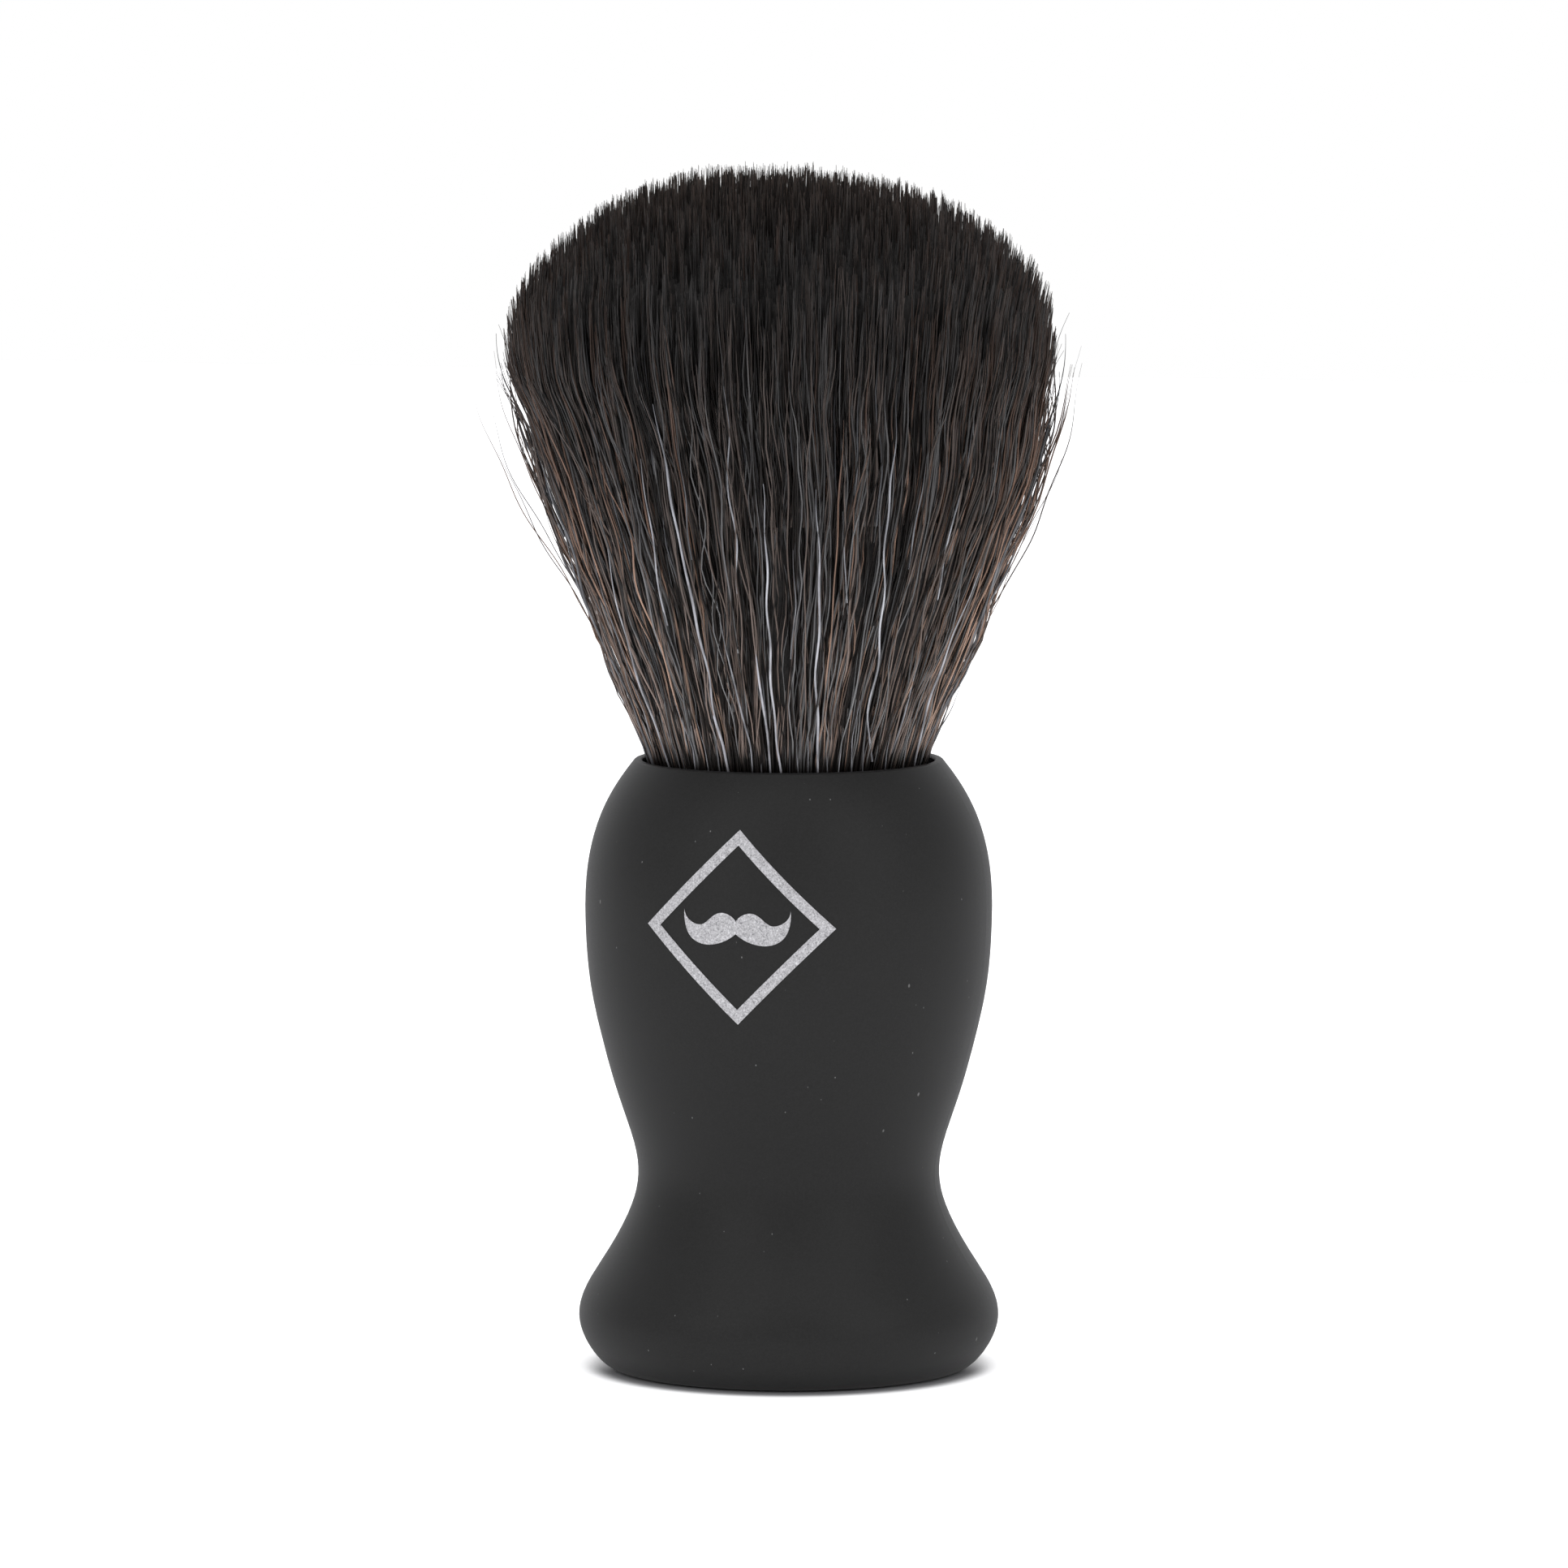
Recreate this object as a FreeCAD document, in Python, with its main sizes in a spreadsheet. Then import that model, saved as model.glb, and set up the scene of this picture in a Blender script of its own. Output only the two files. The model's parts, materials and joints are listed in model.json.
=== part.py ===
import FreeCAD, Part
import math
import os

import Sketcher
from FreeCAD import Placement, Rotation, Vector

# Shaving brush: a weighted, moulded handle with a bonded synthetic fibre knot.
# Frame: +Z up along the axis of the handle, origin in the middle of the foot's lower face,
# emblem facing -Y. Millimetres.
#
# Assembly: the fibres are tied, potted in the ferrule and bonded into the handle's socket. The
# ballast slug goes up the bore against its damping washer, the base plate is pressed in under it,
# one countersunk screw clamps the stack to a brass insert, and the foot pad covers the screw.

doc = FreeCAD.newDocument("ShavingBrush")

# ---------------------------------------------------------------- dimensions
# (alias, number or sum of earlier aliases, note). Endings: _r radius, _z height above the foot,
# _foot and _top the lower and upper ends as heights, _len length.
DIMENSIONS = [
    # handle, outside
    ("rim_r", 13.95, "rim, outer edge radius"),
    ("rim_z", 55.5, "rim height"),
    ("foot_ring_r", 16.2, "foot ring, outer radius"),
    ("foot_ring_z", 0.12, "foot ring stands this far above the pad's face"),
    ("rim_fillet", 0.3, "outer edge of the rim"),
    ("mouth_fillet", 0.22, "inner edge of the rim"),
    # handle, inside
    ("socket_r", 13.25, "knot socket radius"),
    ("socket_depth", 13.9, "from the rim"),
    ("socket_floor", "rim_z - socket_depth", "height of the socket's floor"),
    ("bore_r", 11.0, "ballast bore radius, limited by the waist"),
    ("bore_top", 37.6, "underside of the web below the socket"),
    ("recess_r", 13.1, "recess for the base plate"),
    ("recess_top", 3.2, "ledge the base plate seats on"),
    ("boss_r", 4.5, "screw boss radius"),
    ("boss_foot", 24.2, "lower face of the boss"),
    ("pilot_r", 2.8, "seat of the threaded insert"),
    ("pilot_top", 34.0, "end of the pilot hole"),
    ("rib_thick", 1.6, "boss rib thickness"),
    ("rib_foot", 26.0, "lower edge of the boss ribs"),
    ("rib_overlap", 0.3, "how far the ribs run into the boss, the wall and the web"),
    ("rib_count", 4, "boss ribs"),
    # base plate
    ("plate_r", "recess_r - 0.05", "base plate radius, with clearance in the recess"),
    ("plate_foot", 1.3, "lower face of the base plate"),
    ("plate_hub_r", 6.0, "thick centre of the base plate"),
    ("plate_hub_top", 4.8, "upper face of the hub"),
    ("spigot_r", "bore_r - 0.15", "spigot that enters the bore"),
    ("spigot_wall", 1.9, "spigot wall thickness"),
    ("spigot_top", 7.2, "the slug rests here"),
    ("crush_rib_r", 0.4, "crush ribs on the spigot"),
    ("crush_rib_at", "bore_r - crush_rib_r - 0.01", "their pitch radius"),
    ("crush_rib_drop", 0.6, "they end this far below the top of the spigot"),
    ("crush_rib_count", 6, "crush ribs"),
    ("sink_r", 3.95, "countersink mouth"),
    ("sink_land", 0.42, "straight part of the countersink"),
    ("screw_hole_r", 2.2, "clearance hole for the screw"),
    # screw, M4 x 30 countersunk, hex socket
    ("screw_r", 2.0, "nominal thread radius, plain"),
    ("screw_foot", 1.45, "lower face of the head"),
    ("screw_len", 30.0, "length over the head"),
    ("head_r", 3.8, "head radius"),
    ("head_land", 0.25, "straight edge of the head"),
    ("hex_flats", 2.5, "socket across flats"),
    ("hex_depth", 1.6, "socket depth"),
    ("tip_chamfer", 0.5, "chamfer at the screw's tip"),
    # threaded insert, M4 brass, heat set
    ("insert_r", "pilot_r - 0.01", "insert radius"),
    ("insert_len", 8.0, "insert length"),
    ("insert_bore_r", 2.03, "insert bore radius"),
    ("insert_band", 2.0, "length of a knurled band"),
    ("insert_groove_depth", 0.35, "grooves between the bands"),
    ("insert_groove_width", 1.1, "groove width at its mouth"),
    ("insert_groove_slope", 0.3, "height of each sloping side of a groove"),
    ("insert_taper_len", 0.4, "height of the bevel at the insert's top"),
    ("insert_taper_in", 0.3, "how far that bevel comes in"),
    # ballast
    ("slug_r", "bore_r - 0.6", "ballast slug radius"),
    ("slug_len", 16.0, "ballast slug length"),
    ("slug_hole_r", 2.3, "hole through the slug"),
    ("slug_hole_over", 2.0, "the hole's cutter passes each end by this"),
    ("slug_chamfer", 0.8, "both ends of the slug"),
    ("damper_r", 10.2, "damping washer radius"),
    ("damper_hole_r", 2.6, "damping washer hole"),
    # foot pad
    ("pad_r", 12.5, "foot pad radius"),
    ("pad_edge", 0.25, "rounding of the pad's lower edge"),
    # knot
    ("ferrule_r", "socket_r - 0.3", "ferrule radius, with room for the bond"),
    ("ferrule_wall", 0.9, "wall thickness"),
    ("ferrule_foot", "socket_floor + 0.7", "lower face of the ferrule"),
    ("ferrule_floor", 1.0, "floor thickness"),
    ("ferrule_top", 52.3, "upper edge of the ferrule"),
    ("ferrule_chamfer", 0.4, "lower outer edge"),
    ("vent_r", 1.5, "vent in the ferrule's floor"),
    ("key_depth", 0.25, "glue grooves round the ferrule"),
    ("key1_foot", 44.6, "lower groove"),
    ("key2_foot", 47.6, "upper groove"),
    ("key_width", 1.0, "groove width at its mouth"),
    ("potting_top", 49.3, "top of the potted fibre ends"),
    ("cord_r", 0.34, "binding cord radius"),
    ("cord_at", 11.68, "radius of the whipping"),
    ("cord_foot", 50.1, "height of the first turn"),
    ("cord_pitch", 0.76, "rise per turn"),
    ("cord_turns", 2.0, "turns of cord"),
    ("bond_top", 54.55, "top of the bond at the fibres"),
    ("bond_wall_z", 54.2, "top of the bond at the socket wall"),
    ("bond_in_foot", 11.45, "inner radius of the bond at the ferrule's top"),
    ("bond_in_top", 12.54, "inner radius of the bond at its own top"),
    # fibre bundle
    ("neck_r", 11.3, "bundle radius at the tie"),
    ("neck_top", 52.1, "top of the straight neck"),
    ("fibre_mouth_r", 12.95, "bundle radius at the socket's mouth"),
    ("crown_z", 110.1, "top of the crown"),
    ("bend1_z", 56.6, "centre of the side bend"),
    ("bend1_r", 16.86, "sphere between roots and belly"),
    ("bend2_z", 70.0, "centre of the front bend"),
    ("bend2_r", 23.70, "sphere between belly and crown"),
    ("bend_gap", 0.1, "gap left between the divided parts"),
    # emblem
    ("mark_z", 42.0, "centre of the emblem"),
    ("mark_half", 8.7, "half diagonal of its lozenge"),
    ("mark_stroke", 0.95, "line width"),
    ("mark_ink", 0.06, "ink thickness"),
    ("mark_motif", 4.9, "half width of the motif"),
    ("mark_band", 0.7, "greatest width of the bands its faces are divided into"),
]

# Control points (radius, height) of the turned handle, from the rim to the foot ring.
HANDLE_CURVE = [
    ("rim_r", "rim_z"),
    (15.11, 54.08), (17.13, 51.10),
    (18.52, 45.63), (18.52, 40.23),  # shoulder
    (18.14, 34.78), (16.82, 29.32), (15.49, 24.46),
    (13.19, 18.52),  # waist
    (14.32, 14.06), (16.90, 9.63),
    (20.59, 4.31),  # skirt
    (17.0, "foot_ring_z"),
    ("foot_ring_r", "foot_ring_z"),
]

# Control points (radius, height) of the fibre bundle, from the mouth to the middle of the crown.
FIBRE_CURVE = [
    ("fibre_mouth_r", "rim_z"),
    (13.85, 59.0), (16.70, 66.0), (19.60, 73.5), (22.70, 80.5),
    (25.35, 88.5), (26.10, 97.3), (21.60, 105.2),
    (10.50, "crown_z"),
    ("0", "crown_z"),
]

sheet = doc.addObject("Spreadsheet::Sheet", "Dimensions")
VALUES = {}


def terms(text):
    """Splits a sum of aliases and numbers, each with an optional " /number", into
    [sign, word, divisor] entries."""
    sign, found = 1, []
    for word in text.split():
        if word in ("+", "-"):
            sign = 1 if word == "+" else -1
        elif word[0] == "/":
            found[-1][2] = word[1:]
        else:
            found.append([sign, word, ""])
    return found


def value(text):
    """The sum as a number."""
    total = 0.0
    for sign, word, divisor in terms(text):
        number = VALUES[word] if word in VALUES else float(word)
        total += sign * (number / float(divisor) if divisor else number)
    return total


def formula(text):
    """The same sum as an expression on the sheet."""
    out = ""
    for sign, word, divisor in terms(text):
        out += " - " if sign < 0 else (" + " if out else "")
        out += "Dimensions." + word if word in VALUES else word
        out += "/" + divisor if divisor else ""
    return out.strip()


def bind(item, prop, text):
    item.setExpression(prop, formula(text))


def add_dimension(alias, entry, note=""):
    derived = isinstance(entry, str)
    row = len(VALUES) + 1
    sheet.set("A%d" % row, alias)
    sheet.set("B%d" % row, "=" + entry if derived else str(entry))
    sheet.setAlias("B%d" % row, alias)
    if note:
        sheet.set("C%d" % row, note)
    VALUES[alias] = value(entry) if derived else float(entry)


def curve_poles(prefix, table):
    """The table with each number put on the sheet and replaced by its alias."""
    poles = []
    for number, point in enumerate(table, start=1):
        pole = []
        for axis, entry in zip("rz", point):
            if not isinstance(entry, str):
                alias = "%s_%s%02d" % (prefix, axis, number)
                add_dimension(alias, entry)
                entry = alias
            pole.append(entry)
        poles.append(tuple(pole))
    return poles


for dimension in DIMENSIONS:
    add_dimension(*dimension)
HANDLE_POLES = curve_poles("handle", HANDLE_CURVE)
FIBRE_POLES = curve_poles("fibre", FIBRE_CURVE)
doc.recompute()


# ---------------------------------------------------------------- sketches
def origin_feature(body, role):
    return next(item for item in body.Origin.OriginFeatures if item.Role == role)


def new_sketch(body, name, role, lift=None):
    """A sketch on a base plane of the body, lifted off it by the sum in lift."""
    sketch = body.newObject("Sketcher::SketchObject", name)
    sketch.AttachmentSupport = [(origin_feature(body, role), "")]
    sketch.MapMode = "FlatFace"
    if lift:
        bind(sketch, ".AttachmentOffset.Base.z", lift)
    return sketch


def pin(sketch, geo, point, x, y):
    """Holds a point of the sketch at the sheet's x and y."""
    for kind, text, axis in (("DistanceX", x, -2), ("DistanceY", y, -1)):
        number = value(text)
        if abs(number) < 1e-9:
            sketch.addConstraint(Sketcher.Constraint("PointOnObject", geo, point, axis))
            continue
        # A distance is positive, so a negative place is measured from the point to the origin.
        if number > 0:
            ends, expression = (-1, 1, geo, point), formula(text)
        else:
            ends, expression = (geo, point, -1, 1), "-(" + formula(text) + ")"
        index = sketch.addConstraint(Sketcher.Constraint(kind, *ends, abs(number)))
        sketch.setExpression("Constraints[%d]" % index, expression)


def spline(sketch, poles):
    """A cubic B-spline whose control points are held by the sheet."""
    count, degree = len(poles), 3
    spans = count - degree
    points = [Vector(value(x), value(y), 0) for x, y in poles]
    curve = Part.BSplineCurve(
        points,
        [degree + 1] + [1] * (spans - 1) + [degree + 1],
        [i / spans for i in range(spans + 1)],
        False,
        degree,
        [1.0] * count,
        False,
    )
    geo = sketch.addGeometry(curve, False)
    circles = [
        sketch.addGeometry(Part.Circle(point, Vector(0, 0, 1), 0.5), True) for point in points
    ]
    sketch.addConstraint(Sketcher.Constraint("Weight", circles[0], 1.0))
    for circle in circles[1:]:
        sketch.addConstraint(Sketcher.Constraint("Equal", circles[0], circle))
    for i, circle in enumerate(circles):
        sketch.addConstraint(
            Sketcher.Constraint(
                "InternalAlignment:Sketcher::BSplineControlPoint", circle, 3, geo, i
            )
        )
    for circle, (x, y) in zip(circles, poles):
        pin(sketch, circle, 3, x, y)
    return geo


def outline(sketch, corners, curve=None):
    """A closed outline of lines through the corners. curve holds control points of a spline
    between the last corner and the first, which its ends then hold in place."""
    points = [Vector(value(x), value(y), 0) for x, y in corners]
    count = len(corners)
    lines = [
        sketch.addGeometry(Part.LineSegment(points[i], points[(i + 1) % count]), False)
        for i in range(count - 1 if curve else count)
    ]
    for line, following in zip(lines, lines[1:]):
        sketch.addConstraint(Sketcher.Constraint("Coincident", line, 2, following, 1))
    if curve:
        # Both curves are listed from the last corner to the first.
        geo = spline(sketch, curve)
        sketch.addConstraint(Sketcher.Constraint("Coincident", lines[-1], 2, geo, 1))
        sketch.addConstraint(Sketcher.Constraint("Coincident", geo, 2, lines[0], 1))
        held = range(1, count - 1)
    else:
        sketch.addConstraint(Sketcher.Constraint("Coincident", lines[-1], 2, lines[0], 1))
        held = range(count)
    for i in held:
        pin(sketch, lines[i], 1, *corners[i])


def groove(radius, foot, depth, width, slope):
    """Corners, going up, of a groove with sloping sides in a cylinder's outline."""
    bottom = radius + " - " + depth
    return [
        (radius, foot),
        (bottom, foot + " + " + slope),
        (bottom, foot + " + " + width + " - " + slope),
        (radius, foot + " + " + width),
    ]


# ---------------------------------------------------------------- features
def turned(name, corners, curve=None):
    """A body turned round Z from an outline of (radius, height) corners."""
    body = doc.addObject("PartDesign::Body", name)
    body.Label = name
    sketch = new_sketch(body, name + "_outline", "XZ_Plane")
    outline(sketch, corners, curve)
    turn = body.newObject("PartDesign::Revolution", name + "_turned")
    turn.Profile = sketch
    turn.ReferenceAxis = (sketch, ["V_Axis"])
    turn.Angle = 360.0
    doc.recompute()
    sketch.Visibility = False
    return body


def raised(body, kind, name, sketch, length, downward=False):
    """A Pad or Pocket of the sketch."""
    feature = body.newObject("PartDesign::" + kind, name)
    feature.Profile = sketch
    bind(feature, "Length", length)
    feature.Reversed = downward
    doc.recompute()
    sketch.Visibility = False
    return feature


def around(body, name, feature, count):
    """The feature repeated round Z."""
    pattern = body.newObject("PartDesign::PolarPattern", name)
    pattern.Originals = [feature]
    pattern.Axis = (origin_feature(body, "Z_Axis"), [""])
    pattern.Angle = 360
    bind(pattern, "Occurrences", count)
    body.Tip = pattern
    doc.recompute()


def fillet_circle(body, name, radius, height, size):
    """Rounds the full circles of that radius at that height on the body's tip."""
    base = body.Tip
    edges = [
        "Edge%d" % i
        for i, edge in enumerate(base.Shape.Edges, start=1)
        if isinstance(edge.Curve, Part.Circle)
        and abs(edge.Curve.Radius - value(radius)) < 1e-3
        and abs(edge.Curve.Center.z - value(height)) < 1e-3
    ]
    fillet = body.newObject("PartDesign::Fillet", name)
    fillet.Base = (base, edges)
    bind(fillet, "Radius", size)
    doc.recompute()


def primitive(kind, name, lift, **sizes):
    """A Part primitive on the Z axis, at the height in lift."""
    item = doc.addObject("Part::" + kind, name)
    for prop, text in sizes.items():
        bind(item, prop, text)
    bind(item, ".Placement.Base.z", lift)
    return item


def boolean(kind, name, base, tool):
    made = doc.addObject("Part::" + kind, name)
    made.Label = name
    made.Base = base
    made.Tool = tool
    return made


# ---------------------------------------------------------------- handle shell
handle = turned(
    "handle_shell",
    [
        ("foot_ring_r", "foot_ring_z"),
        ("recess_r", "foot_ring_z"),
        ("recess_r", "recess_top"),
        ("bore_r", "recess_top"),
        ("bore_r", "bore_top"),
        ("boss_r", "bore_top"),
        ("boss_r", "boss_foot"),
        ("pilot_r", "boss_foot"),
        ("pilot_r", "pilot_top"),
        ("0", "pilot_top"),
        ("0", "socket_floor"),
        ("socket_r", "socket_floor"),
        ("socket_r", "rim_z"),
        ("rim_r", "rim_z"),
    ],
    HANDLE_POLES,
)
rib_sketch = new_sketch(handle, "boss_rib_outline", "XY_Plane", "rib_foot")
outline(
    rib_sketch,
    [
        ("boss_r - rib_overlap", "0 - rib_thick /2"),
        ("bore_r + rib_overlap", "0 - rib_thick /2"),
        ("bore_r + rib_overlap", "rib_thick /2"),
        ("boss_r - rib_overlap", "rib_thick /2"),
    ],
)
rib = raised(handle, "Pad", "boss_rib", rib_sketch, "bore_top - rib_foot + rib_overlap")
around(handle, "boss_ribs", rib, "rib_count")
fillet_circle(handle, "rim_outer", "rim_r", "rim_z", "rim_fillet")
fillet_circle(handle, "rim_inner", "socket_r", "rim_z", "mouth_fillet")

# ---------------------------------------------------------------- base plate
plate = turned(
    "base_plate",
    [
        ("sink_r", "plate_foot"),
        ("plate_r", "plate_foot"),
        ("plate_r", "recess_top"),
        ("spigot_r", "recess_top"),
        ("spigot_r", "spigot_top"),
        ("spigot_r - spigot_wall", "spigot_top"),
        ("spigot_r - spigot_wall", "recess_top"),
        ("plate_hub_r", "recess_top"),
        ("plate_hub_r", "plate_hub_top"),
        ("screw_hole_r", "plate_hub_top"),
        ("screw_hole_r", "plate_foot + sink_land + sink_r - screw_hole_r"),
        ("sink_r", "plate_foot + sink_land"),
    ],
)
crush_sketch = new_sketch(plate, "crush_rib_outline", "XY_Plane", "recess_top")
crush_circle = crush_sketch.addGeometry(
    Part.Circle(Vector(value("crush_rib_at"), 0, 0), Vector(0, 0, 1), value("crush_rib_r")), False
)
pin(crush_sketch, crush_circle, 3, "crush_rib_at", "0")
crush_size = crush_sketch.addConstraint(
    Sketcher.Constraint("Radius", crush_circle, value("crush_rib_r"))
)
bind(crush_sketch, "Constraints[%d]" % crush_size, "crush_rib_r")
crush_rib = raised(
    plate, "Pad", "crush_rib", crush_sketch, "spigot_top - recess_top - crush_rib_drop"
)
around(plate, "crush_ribs", crush_rib, "crush_rib_count")

# ---------------------------------------------------------------- base screw
screw = turned(
    "base_screw",
    [
        ("0", "screw_foot"),
        ("head_r", "screw_foot"),
        ("head_r", "screw_foot + head_land"),
        ("screw_r", "screw_foot + head_land + head_r - screw_r"),
        ("screw_r", "screw_foot + screw_len - tip_chamfer"),
        ("screw_r - tip_chamfer", "screw_foot + screw_len"),
        ("0", "screw_foot + screw_len"),
    ],
)


def hexagon(sketch):
    """A regular hexagon round the origin with its first corner on X."""
    radius = value("hex_flats") / math.sqrt(3)
    angles = [math.radians(60 * i) for i in range(6)]
    points = [Vector(radius * math.cos(a), radius * math.sin(a), 0) for a in angles]
    lines = [
        sketch.addGeometry(Part.LineSegment(points[i], points[(i + 1) % 6]), False)
        for i in range(6)
    ]
    ring = sketch.addGeometry(Part.Circle(Vector(0, 0, 0), Vector(0, 0, 1), radius), True)
    for i, line in enumerate(lines):
        sketch.addConstraint(Sketcher.Constraint("Coincident", line, 2, lines[(i + 1) % 6], 1))
        sketch.addConstraint(Sketcher.Constraint("PointOnObject", line, 1, ring))
    for line in lines[1:]:
        sketch.addConstraint(Sketcher.Constraint("Equal", lines[0], line))
    sketch.addConstraint(Sketcher.Constraint("Coincident", ring, 3, -1, 1))
    sketch.addConstraint(Sketcher.Constraint("PointOnObject", lines[0], 1, -1))
    index = sketch.addConstraint(Sketcher.Constraint("Radius", ring, radius))
    sketch.setExpression("Constraints[%d]" % index, "Dimensions.hex_flats / sqrt(3)")


hex_sketch = new_sketch(screw, "hex_outline", "XY_Plane", "screw_foot")
hexagon(hex_sketch)
# A pocket cuts down from its sketch, so it is reversed to cut up into the head.
hex_socket = screw.newObject("PartDesign::Pocket", "hex_socket")
hex_socket.Profile = hex_sketch
bind(hex_socket, "Length", "hex_depth")
hex_socket.Reversed = True
doc.recompute()
hex_sketch.Visibility = False

# ---------------------------------------------------------------- threaded insert
INSERT_TOP = "boss_foot + insert_len"
INSERT_GROOVE = ("insert_groove_depth", "insert_groove_width", "insert_groove_slope")
GROOVE1_FOOT = "boss_foot + insert_band"
GROOVE2_FOOT = GROOVE1_FOOT + " + insert_groove_width + insert_band"
insert = turned(
    "threaded_insert",
    [("insert_bore_r", "boss_foot"), ("insert_r", "boss_foot")]
    + groove("insert_r", GROOVE1_FOOT, *INSERT_GROOVE)
    + groove("insert_r", GROOVE2_FOOT, *INSERT_GROOVE)
    + [
        ("insert_r", INSERT_TOP + " - insert_taper_len"),
        ("insert_r - insert_taper_in", INSERT_TOP),
        ("insert_bore_r", INSERT_TOP),
    ],
)

# ---------------------------------------------------------------- ballast slug
slug_blank = primitive("Cylinder", "slug_blank", "spigot_top", Radius="slug_r", Height="slug_len")
doc.recompute()
slug_edged = doc.addObject("Part::Chamfer", "slug_edged")
slug_edged.Base = slug_blank
slug_edged.Edges = [
    (i, value("slug_chamfer"), value("slug_chamfer"))
    for i, edge in enumerate(slug_blank.Shape.Edges, start=1)
    if isinstance(edge.Curve, Part.Circle)
]
slug_hole = primitive(
    "Cylinder",
    "slug_hole",
    "spigot_top - slug_hole_over",
    Radius="slug_hole_r",
    Height="slug_len + slug_hole_over + slug_hole_over",
)
slug = boolean("Cut", "ballast_slug", slug_edged, slug_hole)

# ---------------------------------------------------------------- damping washer
damper = turned(
    "damping_washer",
    [
        ("damper_hole_r", "spigot_top + slug_len"),
        ("damper_r", "spigot_top + slug_len"),
        ("damper_r", "boss_foot"),
        ("damper_hole_r", "boss_foot"),
    ],
)

# ---------------------------------------------------------------- foot pad
foot_pad = turned(
    "foot_pad",
    [("0", "0"), ("pad_r", "0"), ("pad_r", "plate_foot"), ("0", "plate_foot")],
)
fillet_circle(foot_pad, "pad_edge_round", "pad_r", "0", "pad_edge")

# ---------------------------------------------------------------- knot ferrule
# The outside, going up; the bond is moulded against it.
KEY_GROOVE = ("key_depth", "key_width", "key_depth")
FERRULE_OUTSIDE = (
    [
        ("ferrule_r - ferrule_chamfer", "ferrule_foot"),
        ("ferrule_r", "ferrule_foot + ferrule_chamfer"),
    ]
    + groove("ferrule_r", "key1_foot", *KEY_GROOVE)
    + groove("ferrule_r", "key2_foot", *KEY_GROOVE)
    + [("ferrule_r", "ferrule_top")]
)
ferrule = turned(
    "knot_ferrule",
    [("vent_r", "ferrule_foot")]
    + FERRULE_OUTSIDE
    + [
        ("ferrule_r - ferrule_wall", "ferrule_top"),
        ("ferrule_r - ferrule_wall", "ferrule_foot + ferrule_floor"),
        ("vent_r", "ferrule_foot + ferrule_floor"),
    ],
)

# ---------------------------------------------------------------- potting of the fibre ends
potting = turned(
    "root_potting",
    [
        ("0", "ferrule_foot"),
        ("vent_r", "ferrule_foot"),
        ("vent_r", "ferrule_foot + ferrule_floor"),
        ("ferrule_r - ferrule_wall", "ferrule_foot + ferrule_floor"),
        ("ferrule_r - ferrule_wall", "potting_top"),
        ("0", "potting_top"),
    ],
)

# ---------------------------------------------------------------- binding cord
whipping = primitive(
    "Helix", "whipping_path", "cord_foot", Radius="cord_at", Pitch="cord_pitch"
)
whipping.setExpression("Height", "Dimensions.cord_pitch * Dimensions.cord_turns")
cord_section = doc.addObject("Part::Circle", "cord_section")
bind(cord_section, "Radius", "cord_r")
cord_section.Placement = Placement(
    Vector(value("cord_at"), 0, value("cord_foot")), Rotation(Vector(1, 0, 0), 90)
)
bind(cord_section, ".Placement.Base.x", "cord_at")
bind(cord_section, ".Placement.Base.z", "cord_foot")
doc.recompute()
cord = doc.addObject("Part::Sweep", "binding_cord")
cord.Label = "binding_cord"
cord.Sections = [cord_section]
cord.Spine = (whipping, [])
cord.Solid = True
cord.Frenet = True

# ---------------------------------------------------------------- bond between knot and socket
bond = turned(
    "socket_bond",
    [
        ("0", "socket_floor"),
        ("socket_r", "socket_floor"),
        ("socket_r", "bond_wall_z"),
        ("bond_in_top", "bond_top"),
        ("bond_in_foot", "ferrule_top"),
    ]
    + FERRULE_OUTSIDE[::-1]
    + [("0", "ferrule_foot")],
)

# ---------------------------------------------------------------- fibre bundle
# One continuous bundle on the real brush. It is divided by two spheres so that it can flex:
# the roots stay in the socket, the belly turns about the lower centre, the crown about the upper.
bundle = turned(
    "fibre_bundle",
    [
        ("0", "crown_z"),
        ("0", "potting_top"),
        ("neck_r", "potting_top"),
        ("neck_r", "neck_top"),
        ("fibre_mouth_r", "rim_z"),
    ],
    FIBRE_POLES,
)


def bend_spheres(bend):
    """The spheres on the inner and the outer side of a bend's gap."""
    return [
        primitive("Sphere", bend + side, bend + "_z", Radius=bend + "_r" + change)
        for side, change in (("_inner", " - bend_gap /2"), ("_outer", " + bend_gap /2"))
    ]


inner1, outer1 = bend_spheres("bend1")
inner2, outer2 = bend_spheres("bend2")
doc.recompute()
roots = boolean("Common", "fibre_roots", bundle, inner1)
belly_whole = boolean("Common", "belly_whole", bundle, inner2)
belly = boolean("Cut", "fibre_belly", belly_whole, outer1)
crown = boolean("Cut", "fibre_crown", bundle, outer2)
doc.recompute()

# ---------------------------------------------------------------- printed emblem
# A thin layer of ink that follows the handle: the handle's outer face thickened by the ink, kept
# where a flat drawing of a lozenge with a moustache inside it is thrown on it along Y.
DRAWING_Y = -30.0  # plane of the drawing, in front of the handle
SLAB_Y, SLAB_DEPTH, SLAB_HEIGHT = -25.0, 12.0, 40.0  # slabs that cut the ink into bands
SLAB_MARGIN = 0.1  # the outermost slabs pass the ink's ends by this

# Right half of the motif, from the notch between the lobes round the tip and back:
# (across, up) from the emblem's centre, in units of the motif's half width.
MOTIF_UPPER = [
    (0.0, 0.13), (0.12, 0.24), (0.29, 0.28), (0.47, 0.19), (0.65, 0.06), (0.82, 0.08), (1.0, 0.32)
]
MOTIF_LOWER = [
    (1.0, 0.32), (0.98, 0.04), (0.86, -0.19), (0.64, -0.3), (0.37, -0.29), (0.14, -0.2), (0.0, -0.1)
]


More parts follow.
